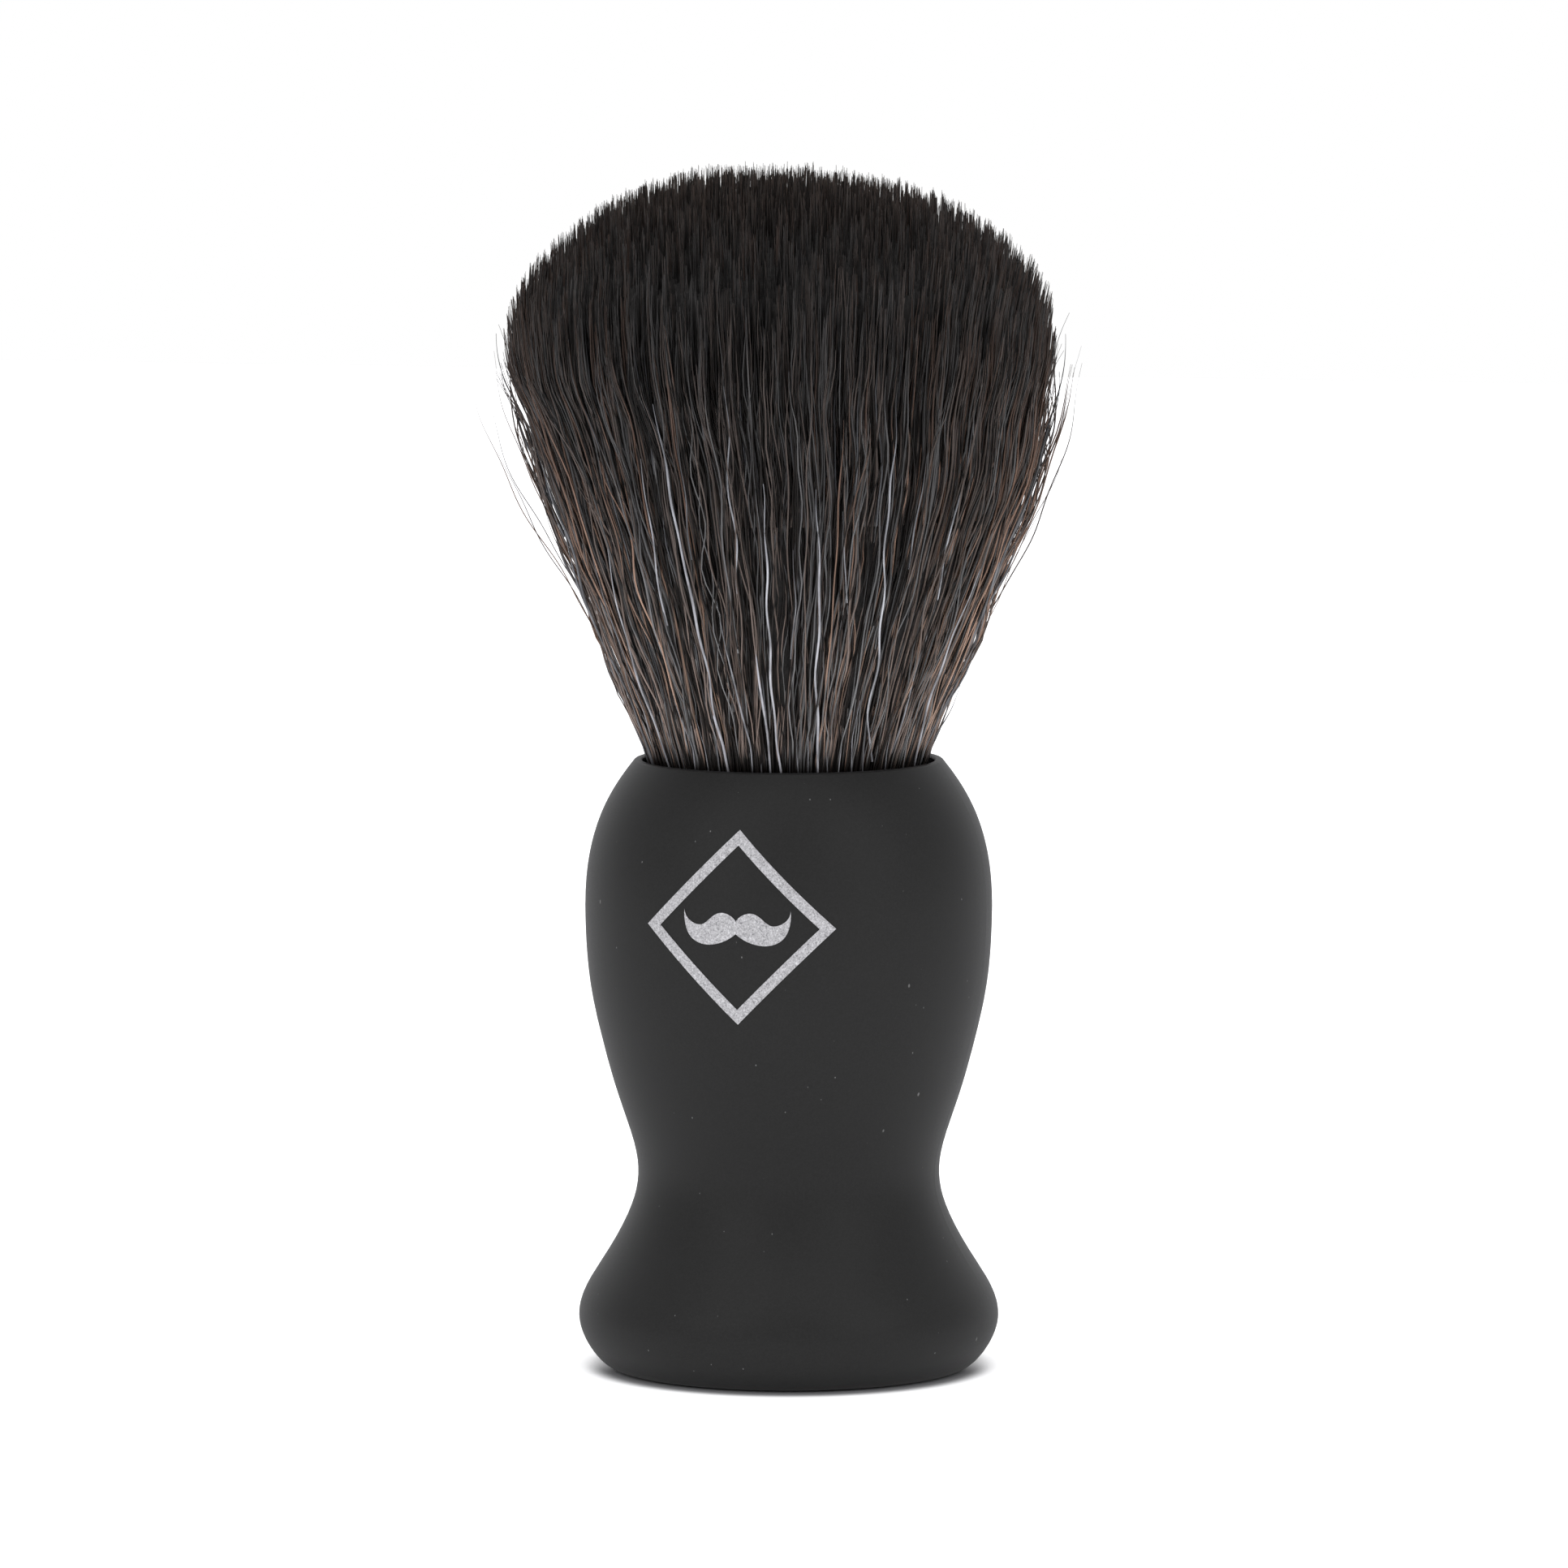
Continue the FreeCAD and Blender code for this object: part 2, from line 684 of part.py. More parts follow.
def ink_skin():
    """The handle's outer face thickened by the ink."""
    outer_face = max(
        (face for face in handle.Shape.Faces if face.BoundBox.ZLength > 40.0),
        key=lambda face: face.BoundBox.XLength,
    )
    skin = outer_face.makeOffsetShape(value("mark_ink"), 1e-4, fill=True)
    # The offset may come back as a closed shell instead of a solid.
    return skin if skin.ShapeType == "Solid" else Part.Solid(skin.Shells[0])


def drawn(x, z):
    """A point of the drawing, from the emblem's centre."""
    return Vector(x, DRAWING_Y, value("mark_z") + z)


def diamond(half):
    corners = [(half, 0), (0, half), (-half, 0), (0, -half), (half, 0)]
    return Part.Face(Part.makePolygon([drawn(x, z) for x, z in corners]))


def motif_curve(points, side):
    """A smooth curve through the points, on the right for side 1 and the left for side -1."""
    unit = value("mark_motif")
    curve = Part.BSplineCurve()
    curve.interpolate(Points=[drawn(side * x * unit, z * unit) for x, z in points])
    return curve.toShape()


def banded(solid):
    """The same solid with its curved faces divided into narrow upright bands."""
    low, high = solid.BoundBox.XMin, solid.BoundBox.XMax
    count = max(2, int(math.ceil((high - low) / value("mark_band"))))
    cuts = [low + (high - low) * i / count for i in range(1, count)]
    cuts = [low - SLAB_MARGIN] + cuts + [high + SLAB_MARGIN]
    slab_foot = value("mark_z") - SLAB_HEIGHT / 2
    bands = []
    for left, right in zip(cuts, cuts[1:]):
        corner = Vector(left, SLAB_Y, slab_foot)
        slab = Part.makeBox(right - left, SLAB_DEPTH, SLAB_HEIGHT, corner)
        bands += solid.common(slab).Solids
    return bands[0].multiFuse(bands[1:]).Solids


skin_solid = ink_skin()
mark_half = value("mark_half")
lozenge = diamond(mark_half).cut(diamond(mark_half - value("mark_stroke") * math.sqrt(2.0)))
motif_edges = [
    motif_curve(points, side) for side in (1.0, -1.0) for points in (MOTIF_UPPER, MOTIF_LOWER)
]
motif = Part.Face(Part.Wire(Part.__sortEdges__(motif_edges)))
prisms = [face.extrude(Vector(0, -DRAWING_Y, 0)) for face in list(lozenge.Faces) + [motif]]
inked = [solid for prism in prisms for solid in skin_solid.common(prism).Solids]
emblem = doc.addObject("Part::Feature", "emblem_print")
emblem.Label = "emblem_print"
emblem.Shape = Part.makeCompound([band for solid in inked for band in banded(solid)])

# ---------------------------------------------------------------- one STEP file for each piece
doc.recompute()
for item in doc.Objects:
    if "Invalid" in item.State or "Error" in item.State:
        raise RuntimeError("%s failed: %s" % (item.Label, item.State))
os.makedirs("parts", exist_ok=True)
for piece in (
    handle, plate, screw, insert, slug, damper, foot_pad,
    ferrule, potting, cord, bond, roots, belly, crown, emblem,
):
    shape = piece.Shape
    if shape.isNull() or not shape.isValid() or not shape.Solids:
        raise RuntimeError("%s has no valid solid" % piece.Label)
    if piece is not emblem and len(shape.Solids) != 1:
        raise RuntimeError("%s has %d solids" % (piece.Label, len(shape.Solids)))
    shape.exportStep("parts/" + piece.Label + ".step")
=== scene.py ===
"""Looks of a shaving brush: fibres, soft-touch handle, printed emblem, floor, lights and camera.

The brush stands upright on z = 0 with its axis on Z. The fibres are worked out in millimetres and
scaled to metres when their meshes are made. The viewer stands in direction FRONT, near -Y.
"""
import json
import math

import bpy
import numpy as np
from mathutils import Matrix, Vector


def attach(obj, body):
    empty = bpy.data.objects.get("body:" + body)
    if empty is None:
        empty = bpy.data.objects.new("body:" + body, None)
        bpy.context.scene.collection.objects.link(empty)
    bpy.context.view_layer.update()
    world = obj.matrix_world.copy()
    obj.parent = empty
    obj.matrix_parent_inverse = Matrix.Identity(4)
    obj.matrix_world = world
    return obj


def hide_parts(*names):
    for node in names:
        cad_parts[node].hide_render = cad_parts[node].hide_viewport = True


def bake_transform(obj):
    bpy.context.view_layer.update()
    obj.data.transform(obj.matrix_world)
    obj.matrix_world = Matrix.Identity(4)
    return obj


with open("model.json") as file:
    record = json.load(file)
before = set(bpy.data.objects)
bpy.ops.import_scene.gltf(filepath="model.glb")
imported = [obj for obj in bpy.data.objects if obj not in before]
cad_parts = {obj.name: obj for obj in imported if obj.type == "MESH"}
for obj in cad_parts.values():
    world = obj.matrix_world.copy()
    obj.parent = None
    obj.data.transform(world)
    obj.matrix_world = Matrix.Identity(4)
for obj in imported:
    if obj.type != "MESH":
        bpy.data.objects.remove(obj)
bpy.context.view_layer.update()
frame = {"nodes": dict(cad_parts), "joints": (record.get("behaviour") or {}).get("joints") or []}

MM = 0.001
VIEW_TURN = math.radians(14.8)  # the viewer stands this far from -Y towards +X
RIGHT = np.array([math.cos(VIEW_TURN), math.sin(VIEW_TURN), 0.0])  # the viewer's right
FRONT = np.array([math.sin(VIEW_TURN), -math.cos(VIEW_TURN), 0.0])  # towards the viewer
UP = np.array([0.0, 0.0, 1.0])
WHITE = (1, 1, 1, 1)


def joint_height(name):
    return next(j for j in frame["joints"] if j["name"] == name)["pos_m"][2] / MM


HIGH_BEND = joint_height("fibre_bend_front")

# spans of height that a mesh may cover: each fibre is cut to its span
LOWER = (0.0, HIGH_BEND)
UPPER = (HIGH_BEND, 200.0)
WHOLE = (0.0, 200.0)


# ---------------------------------------------------------------- node helpers
def new_material(name):
    mat = bpy.data.materials.new(name)
    mat.use_nodes = True
    tree = mat.node_tree
    tree.nodes.clear()
    out = tree.nodes.new("ShaderNodeOutputMaterial")
    bsdf = tree.nodes.new("ShaderNodeBsdfPrincipled")
    tree.links.new(bsdf.outputs["BSDF"], out.inputs["Surface"])
    return mat, tree, bsdf


def add(tree, kind, **settings):
    node = tree.nodes.new(kind)
    for key, value in settings.items():
        setattr(node, key, value)
    return node


def feed(tree, socket, source):
    """Link a socket to an output, or give it a plain value."""
    if hasattr(source, "is_output"):
        tree.links.new(source, socket)
    else:
        socket.default_value = source


def set_inputs(tree, node, **inputs):
    """Feed inputs by name, with underscores for the spaces."""
    for key, value in inputs.items():
        feed(tree, node.inputs[key.replace("_", " ")], value)


def math_node(tree, operation, a, b=0.0):
    node = add(tree, "ShaderNodeMath", operation=operation)
    feed(tree, node.inputs[0], a)
    feed(tree, node.inputs[1], b)
    return node.outputs[0]


def vector_math(tree, operation, a, b=None, output="Vector"):
    node = add(tree, "ShaderNodeVectorMath", operation=operation)
    feed(tree, node.inputs[0], a)
    if b is not None:
        feed(tree, node.inputs["Scale" if operation == "SCALE" else 1], b)
    return node.outputs[output]


def map_range(tree, value, between, to=(0.0, 1.0), smooth=True):
    """The value mapped from one pair of limits to another, clamped, eased unless smooth is off."""
    kind = "SMOOTHSTEP" if smooth else "LINEAR"
    node = add(tree, "ShaderNodeMapRange", interpolation_type=kind, clamp=True)
    low, high = between
    set_inputs(tree, node, Value=value, From_Min=low, From_Max=high, To_Min=to[0], To_Max=to[1])
    return node.outputs["Result"]


def mix_colour(tree, factor, a, b):
    """Mix of two colours, each an output or (r, g, b)."""
    node = add(tree, "ShaderNodeMix", data_type="RGBA")
    feed(tree, node.inputs[0], factor)
    for socket, colour in ((node.inputs[6], a), (node.inputs[7], b)):
        feed(tree, socket, (*colour, 1.0) if isinstance(colour, tuple) else colour)
    return node.outputs[2]


def mix_value(tree, factor, a, b):
    node = add(tree, "ShaderNodeMix", data_type="FLOAT")
    feed(tree, node.inputs[0], factor)
    feed(tree, node.inputs[2], a)
    feed(tree, node.inputs[3], b)
    return node.outputs[0]


def ramp(tree, value, stops):
    """Colour ramp through stops of (position, (r, g, b))."""
    node = add(tree, "ShaderNodeValToRGB")
    while len(node.color_ramp.elements) < len(stops):
        node.color_ramp.elements.new(0.5)
    for element, (position, colour) in zip(node.color_ramp.elements, stops):
        element.position = position
        element.color = (*colour, 1.0)
    feed(tree, node.inputs[0], value)
    return node.outputs["Color"]


def millimetres(tree, stretch=(1.0, 1.0, 1.0)):
    """The object's own coordinates in millimetres, times stretch."""
    coords = add(tree, "ShaderNodeTexCoord")
    mapping = add(tree, "ShaderNodeMapping")
    scale = tuple(1000.0 * s for s in stretch)
    set_inputs(tree, mapping, Vector=coords.outputs["Object"], Scale=scale)
    return mapping.outputs["Vector"]


def noise(tree, scale, detail=2.0, roughness=0.5, stretch=(1.0, 1.0, 1.0)):
    """Noise with scale in features per mm."""
    texture = add(tree, "ShaderNodeTexNoise")
    vector = millimetres(tree, stretch)
    set_inputs(tree, texture, Vector=vector, Scale=scale, Detail=detail, Roughness=roughness)
    return texture.outputs["Fac"]


def bump(tree, bsdf, height, strength, distance_mm):
    node = add(tree, "ShaderNodeBump")
    set_inputs(tree, node, Strength=strength, Distance=distance_mm * MM, Height=height)
    tree.links.new(node.outputs["Normal"], bsdf.inputs["Normal"])


def dress(part, material):
    mesh = frame["nodes"][part].data
    mesh.materials.clear()
    mesh.materials.append(material)


# ---------------------------------------------------------------- handle and small parts
# two sizes of dust: cells per mm, the edge of a speck in its cell, the random channel and its
# range from which cells get a speck, how strongly the speck covers, and its grey
DUST = [
    (0.42, (0.034, 0.062), 0, (0.70, 0.72), 0.55, 0.20),
    (1.25, (0.045, 0.085), 1, (0.84, 0.94), 0.70, 0.19),
]


def soft_touch():
    """Matt black coating with a fine grain and some dust."""
    mat, tree, bsdf = new_material("soft_touch_black")
    grain = noise(tree, scale=5.5, detail=3.0, roughness=0.7)
    cloud = noise(tree, scale=0.09, detail=3.0, roughness=0.55)
    base = mix_colour(tree, cloud, (0.0098, 0.0097, 0.0096), (0.0128, 0.0127, 0.0126))
    grain_part = map_range(tree, grain, between=(0.30, 0.75))
    base = mix_colour(tree, grain_part, base, (0.0158, 0.0157, 0.0157))
    spots = millimetres(tree, stretch=(1.0, 1.0, 0.62))
    for scale, edge, channel, odds, cover, grey in DUST:
        cells = add(tree, "ShaderNodeTexVoronoi", feature="F1")
        set_inputs(tree, cells, Vector=spots, Scale=scale)
        near = map_range(tree, cells.outputs["Distance"], between=edge, to=(1.0, 0.0))
        split = add(tree, "ShaderNodeSeparateColor")
        tree.links.new(cells.outputs["Color"], split.inputs[0])
        chosen = map_range(tree, split.outputs[channel], between=odds)
        dust = math_node(tree, "MULTIPLY", near, chosen)
        dust = math_node(tree, "MULTIPLY", dust, cover)
        base = mix_colour(tree, dust, base, (grey, grey, grey))
    set_inputs(
        tree,
        bsdf,
        Base_Color=base,
        Roughness=map_range(tree, grain, between=(0.2, 0.8), to=(0.42, 0.52), smooth=False),
        IOR=1.45,
        Specular_IOR_Level=0.32,
        Sheen_Weight=0.02,
        Sheen_Roughness=0.45,
        Sheen_Tint=(0.9, 0.93, 1.0, 1),
    )
    bump(tree, bsdf, grain, strength=0.25, distance_mm=0.012)
    return mat


SILVER_TONES = [
    (0.30, (0.16, 0.16, 0.17)), (0.46, (0.40, 0.395, 0.41)),
    (0.60, (0.56, 0.555, 0.575)), (0.74, (0.78, 0.78, 0.80)),
]


def silver_ink():
    """Silver print with visible metal flakes of two sizes."""
    mat, tree, bsdf = new_material("silver_ink")
    flake = noise(tree, scale=7.0, detail=2.0, roughness=0.6)
    coarse = noise(tree, scale=2.4, detail=2.0, roughness=0.6)
    flake_part = math_node(tree, "MULTIPLY", flake, 0.75)
    coarse_part = math_node(tree, "MULTIPLY", coarse, 0.25)
    tone = math_node(tree, "ADD", flake_part, coarse_part)
    set_inputs(
        tree,
        bsdf,
        Base_Color=ramp(tree, tone, SILVER_TONES),
        Metallic=0.35,
        Roughness=map_range(tree, flake, between=(0.2, 0.8), to=(0.42, 0.62), smooth=False),
    )
    bump(tree, bsdf, flake, strength=0.5, distance_mm=0.01)
    return mat


def dress_plain(
    part, name, dark, light, scale, rough, metallic=0.0, stretch=(1, 1, 1), bump_mm=0.01, coat=0.0
):
    """Dress a part in two colours mixed by a noise that also drives the roughness and bump."""
    mat, tree, bsdf = new_material(name)
    grain = noise(tree, scale, detail=3.0, roughness=0.6, stretch=stretch)
    mixed = mix_colour(tree, map_range(tree, grain, between=(0.3, 0.7)), dark, light)
    roughness = map_range(tree, grain, between=(0.25, 0.75), to=rough, smooth=False)
    set_inputs(
        tree, bsdf, Base_Color=mixed, Roughness=roughness, Metallic=metallic, Coat_Weight=coat
    )
    bump(tree, bsdf, grain, strength=0.4, distance_mm=bump_mm)
    dress(part, mat)


dress("handle_shell", soft_touch())
dress("emblem_print", silver_ink())
dress_plain(
    "base_plate", "base_plastic", dark=(0.012, 0.012, 0.013), light=(0.022, 0.022, 0.023),
    scale=3.0, rough=(0.5, 0.65),
)
dress_plain(
    "base_screw", "screw_steel", dark=(0.33, 0.33, 0.34), light=(0.52, 0.52, 0.53),
    scale=1.5, rough=(0.28, 0.45), metallic=1.0, stretch=(1, 1, 6), bump_mm=0.004,
)
dress_plain(
    "threaded_insert", "insert_brass", dark=(0.50, 0.33, 0.11), light=(0.70, 0.50, 0.20),
    scale=2.5, rough=(0.28, 0.42), metallic=1.0,
)
dress_plain(
    "ballast_slug", "ballast_steel", dark=(0.24, 0.24, 0.25), light=(0.40, 0.40, 0.41),
    scale=0.9, rough=(0.35, 0.55), metallic=1.0, stretch=(1, 1, 14),
)
dress_plain(
    "damping_washer", "washer_foam", dark=(0.012, 0.012, 0.012), light=(0.035, 0.035, 0.035),
    scale=3.5, rough=(0.85, 0.95), bump_mm=0.08,
)
dress_plain(
    "foot_pad", "pad_rubber", dark=(0.014, 0.014, 0.014), light=(0.027, 0.027, 0.027),
    scale=4.0, rough=(0.75, 0.9), bump_mm=0.04,
)
dress_plain(
    "knot_ferrule", "ferrule_plastic", dark=(0.014, 0.014, 0.014), light=(0.024, 0.024, 0.024),
    scale=1.2, rough=(0.32, 0.45),
)
dress_plain(
    "root_potting", "potting_epoxy", dark=(0.20, 0.12, 0.045), light=(0.36, 0.24, 0.11),
    scale=0.35, rough=(0.12, 0.25), bump_mm=0.02, coat=0.3,
)
dress_plain(
    "binding_cord", "cord_thread", dark=(0.42, 0.38, 0.31), light=(0.70, 0.66, 0.57),
    scale=3.0, rough=(0.8, 0.95), stretch=(1, 1, 3), bump_mm=0.05,
)
dress_plain(
    "socket_bond", "bond_epoxy", dark=(0.006, 0.0055, 0.005), light=(0.011, 0.010, 0.009),
    scale=0.8, rough=(0.16, 0.34), bump_mm=0.05,
)

# ---------------------------------------------------------------- shape of the bundle, in mm
# outline of the bundle as the fibres would stand: height, radius
ENVELOPE = np.array([
    (46.0, 11.25), (52.1, 11.35), (54.0, 12.25), (55.5, 12.75), (57.0, 13.10), (59.0, 13.98),
    (61.0, 14.85), (63.0, 15.80), (65.0, 16.65), (67.0, 17.45), (69.0, 18.20), (71.0, 19.00),
    (73.0, 19.85), (75.0, 20.60), (77.0, 21.30), (79.0, 22.05), (81.0, 22.70), (83.0, 23.30),
    (85.0, 23.80), (87.0, 24.25), (89.0, 24.70), (91.0, 25.05), (94.0, 25.45), (98.0, 25.9),
    (104.0, 26.3), (112.0, 26.6),
])
# domed end, from the widest place up: height, radius
DOME = np.array([
    (89.5, 25.3), (92.2, 25.25), (94.0, 25.1), (95.8, 24.85), (97.6, 24.4), (99.5, 23.6),
    (101.3, 22.45), (103.1, 20.8), (104.9, 18.4), (105.8, 16.9), (106.7, 15.1), (107.6, 12.6),
    (108.4, 9.4), (108.9, 6.0), (109.2, 0.0),
])
# how far the dome stands above DOME: mm to the viewer's right of the middle, mm of height
LEVEL = np.array([
    (-25, 0.05), (-21.5, -0.20), (-19, -0.38), (-15, 0.22), (-10.5, 0.48), (-6, 0.70),
    (-1.5, 0.60), (3, 0.45), (7, 0.20), (12, 0.10), (16, -0.22), (20.5, -0.38), (25, -0.28),
])
CROWN_RADIUS = 25.0  # the radius that a share of 1 stands for at the crown
ROOT = 53.2  # where the modelled fibres start, inside the mouth
FOOT, TIP = 54.2, 109.0  # heights that the fibre texture runs between

# shares of the bundle's radius that part the dome's middle, the fibres under the coat and the coat
INNER_SHARE = 0.86
COAT_SHARE = 0.938


def smooth_along(values, taps):
    """Values averaged over a bell-shaped window of this many."""
    window = np.hanning(taps)
    window /= window.sum()
    padded = np.pad(values, taps // 2, mode="reflect", reflect_type="odd")
    return np.convolve(padded, window, "valid")


fine_z = np.arange(46.0, 112.01, 0.25)
fine_r = smooth_along(np.interp(fine_z, ENVELOPE[:, 0], ENVELOPE[:, 1]), taps=13)


def envelope(z):
    return np.interp(z, fine_z, fine_r)


def dome_height(share):
    """Height at which a fibre ends that keeps this share of the bundle's radius."""
    dome_share = DOME[:, 1] / envelope(DOME[:, 0])
    return np.interp(share, dome_share[::-1], DOME[::-1, 0])


def rise(value, start, span):
    """Eased step: 0 up to start, 1 from start + span on."""
    part = np.clip((value - start) / span, 0, 1)
    return part * part * (3 - 2 * part)


def lean(z):
    """Mm from the axis to the bundle's middle, to the viewer's right: it is always to the left,
    a little at the mouth and more in the upper part."""
    return -0.15 * (1 - rise(z, 58.0, 8.0)) - 0.60 * rise(z, 81.0, 9.0)


def unevenness(share, angle):
    """Mm that the dome stands above DOME at a place: a tilt from LEVEL and small waves."""
    x = CROWN_RADIUS * share * np.cos(angle)
    y = CROWN_RADIUS * share * np.sin(angle)
    tilt = np.interp(x, LEVEL[:, 0], LEVEL[:, 1])
    waves = 0.11 * np.sin(x / 1.7 + 0.9 * np.sin(y / 2.9)) + 0.10 * np.sin(y / 1.5 + x / 4.1 + 1.3)
    return tilt + waves


def fuller(z, angle):
    """Mm past the even outline, at the dome's right shoulder and the left of the belly."""
    right = 0.85 * rise(z, 95.0, 7.0) * rise(np.cos(angle), 0.1, 0.7)
    left = 0.40 * rise(z, 87.0, 4.0) * (1 - rise(z, 97.0, 3.0)) * rise(-np.cos(angle), 0.1, 0.7)
    return right + left


def in_space(right, front, z):
    """Points from mm to the viewer's right, mm towards the viewer, and height."""
    right, front, z = (np.asarray(v)[..., None] for v in (right, front, z))
    return right * RIGHT + front * FRONT + z * UP


def place(share, angle, z, outward, sideways):
    """Points of a fibre. Angle 0 is the viewer's right and -90 degrees faces the viewer."""
    r = share * (envelope(z) + fuller(z, angle)) + outward
    x = r * np.cos(angle) - sideways * np.sin(angle) + lean(z)
    y = r * np.sin(angle) + sideways * np.cos(angle)
    return in_space(x, -y, z)


# ---------------------------------------------------------------- fibre material
TONES = 32  # columns of the fibre texture, one tone each
# first and last column of each family
DARK, BROWN, GREY, COPPER, PALE = (0, 9), (10, 17), (18, 23), (24, 28), (29, 31)

# colour of each family up the fibre: share of the way from FOOT to TIP, colour. The lighter lower
# part is partly the fibres' own tone and partly painted light thrown up from the floor
FAMILY_COLOURS = {
    DARK: [
        (0.00, (0.012, 0.010, 0.009)), (0.08, (0.020, 0.0155, 0.0135)),
        (0.30, (0.0130, 0.0103, 0.0092)), (0.60, (0.0085, 0.0068, 0.0060)),
        (0.85, (0.0038, 0.0030, 0.0027)), (1.00, (0.0120, 0.0085, 0.0070)),
    ],
    BROWN: [
        (0.00, (0.065, 0.051, 0.044)), (0.07, (0.215, 0.164, 0.142)),
        (0.20, (0.166, 0.127, 0.110)), (0.30, (0.122, 0.095, 0.083)),
        (0.42, (0.092, 0.0725, 0.0640)), (0.58, (0.071, 0.0570, 0.0515)),
        (0.75, (0.0490, 0.0400, 0.0362)), (0.90, (0.0400, 0.0320, 0.0288)),
        (1.00, (0.062, 0.045, 0.0370)),
    ],
    GREY: [
        (0.00, (0.065, 0.064, 0.065)), (0.07, (0.205, 0.203, 0.206)),
        (0.20, (0.166, 0.164, 0.167)), (0.30, (0.134, 0.132, 0.135)),
        (0.42, (0.104, 0.102, 0.104)), (0.58, (0.080, 0.0780, 0.0790)),
        (0.75, (0.0560, 0.0540, 0.0540)), (0.90, (0.0440, 0.0410, 0.0400)),
        (1.00, (0.056, 0.0450, 0.0400)),
    ],
    COPPER: [
        (0.00, (0.100, 0.064, 0.050)), (0.10, (0.370, 0.250, 0.190)),
        (0.30, (0.300, 0.192, 0.142)), (0.48, (0.172, 0.105, 0.077)),
        (0.66, (0.072, 0.0470, 0.0370)), (1.00, (0.030, 0.0205, 0.0170)),
    ],
    PALE: [
        (0.00, (0.25, 0.25, 0.27)), (0.06, (0.38, 0.38, 0.41)),
        (0.30, (0.46, 0.465, 0.50)), (0.45, (0.33, 0.335, 0.365)),
        (0.60, (0.16, 0.162, 0.178)), (0.75, (0.045, 0.044, 0.047)),
        (1.00, (0.020, 0.019, 0.019)),
    ],
}
# colour of the roots: glue, together with painted shade inside the mouth
GLUE_AND_SHADE_COLOUR = (0.0130, 0.0108, 0.0098)


def fibre_material():
    """Colour from the fibre's tone column and its height, with roots darkened by glue and by
    painted shade.
    """
    mat, tree, bsdf = new_material("knot_fibre")
    uv = add(tree, "ShaderNodeUVMap", uv_map="OFBake")
    split = add(tree, "ShaderNodeSeparateXYZ")
    tree.links.new(uv.outputs["UV"], split.inputs[0])
    column = math_node(tree, "MULTIPLY", split.outputs[0], float(TONES))
    column = math_node(tree, "FLOOR", column)
    height = split.outputs[1]
    white_noise = add(tree, "ShaderNodeTexWhiteNoise", noise_dimensions="1D")
    tree.links.new(column, white_noise.inputs["W"])
    chance = white_noise.outputs["Value"]

    def reached(family):
        return map_range(tree, column, between=(family[0] - 0.5, family[0] - 0.4))

    colour = ramp(tree, height, FAMILY_COLOURS[DARK])
    for family in (BROWN, GREY, COPPER, PALE):
        family_colour = ramp(tree, height, FAMILY_COLOURS[family])
        colour = mix_colour(tree, reached(family), colour, family_colour)
    is_pale = reached(PALE)

    # each column has its own strength; the pale columns go from dull to bright
    gain = map_range(tree, chance, between=(0.0, 1.0), to=(0.62, 1.38), smooth=False)
    pale_columns = (float(PALE[0]), float(PALE[1]))
    pale_gain = map_range(tree, column, between=pale_columns, to=(0.42, 1.0), smooth=False)
    colour = vector_math(tree, "SCALE", colour, mix_value(tree, is_pale, gain, pale_gain))

    # painted glints: brightness varies along each fibre as if it turned to the light, most on the
    # pale ones
    glint_noise = noise(tree, scale=0.38, detail=2.0, roughness=0.5, stretch=(2.0, 2.0, 0.7))
    little = map_range(tree, glint_noise, between=(0.32, 0.68), to=(0.82, 1.18), smooth=False)
    much = map_range(tree, glint_noise, between=(0.36, 0.64), to=(0.50, 1.12), smooth=False)
    colour = vector_math(tree, "SCALE", colour, mix_value(tree, is_pale, little, much))

    # glue has soaked up the root, and painted shade of the mouth darkens it too: by a different
    # amount in each column and less in the pale ones
    edge = map_range(tree, chance, between=(0.0, 1.0), to=(0.010, 0.048), smooth=False)
    edge = math_node(tree, "SUBTRACT", edge, math_node(tree, "MULTIPLY", is_pale, 0.022))
    glue_and_shade_end = math_node(tree, "ADD", edge, 0.026)
    glue_and_shade = map_range(tree, height, between=(edge, glue_and_shade_end), to=(1.0, 0.0))
    set_inputs(
        tree,
        bsdf,
        Base_Color=mix_colour(tree, glue_and_shade, colour, GLUE_AND_SHADE_COLOUR),
        Roughness=map_range(tree, chance, between=(0.0, 1.0), to=(0.34, 0.50), smooth=False),
        IOR=1.5,
        Specular_IOR_Level=0.32,
    )
    return mat


FIBRE = fibre_material()


# ---------------------------------------------------------------- fibre meshes
def add_object(name, mesh):
    obj = bpy.data.objects.new(name, mesh)
    bpy.context.scene.collection.objects.link(obj)
    return obj


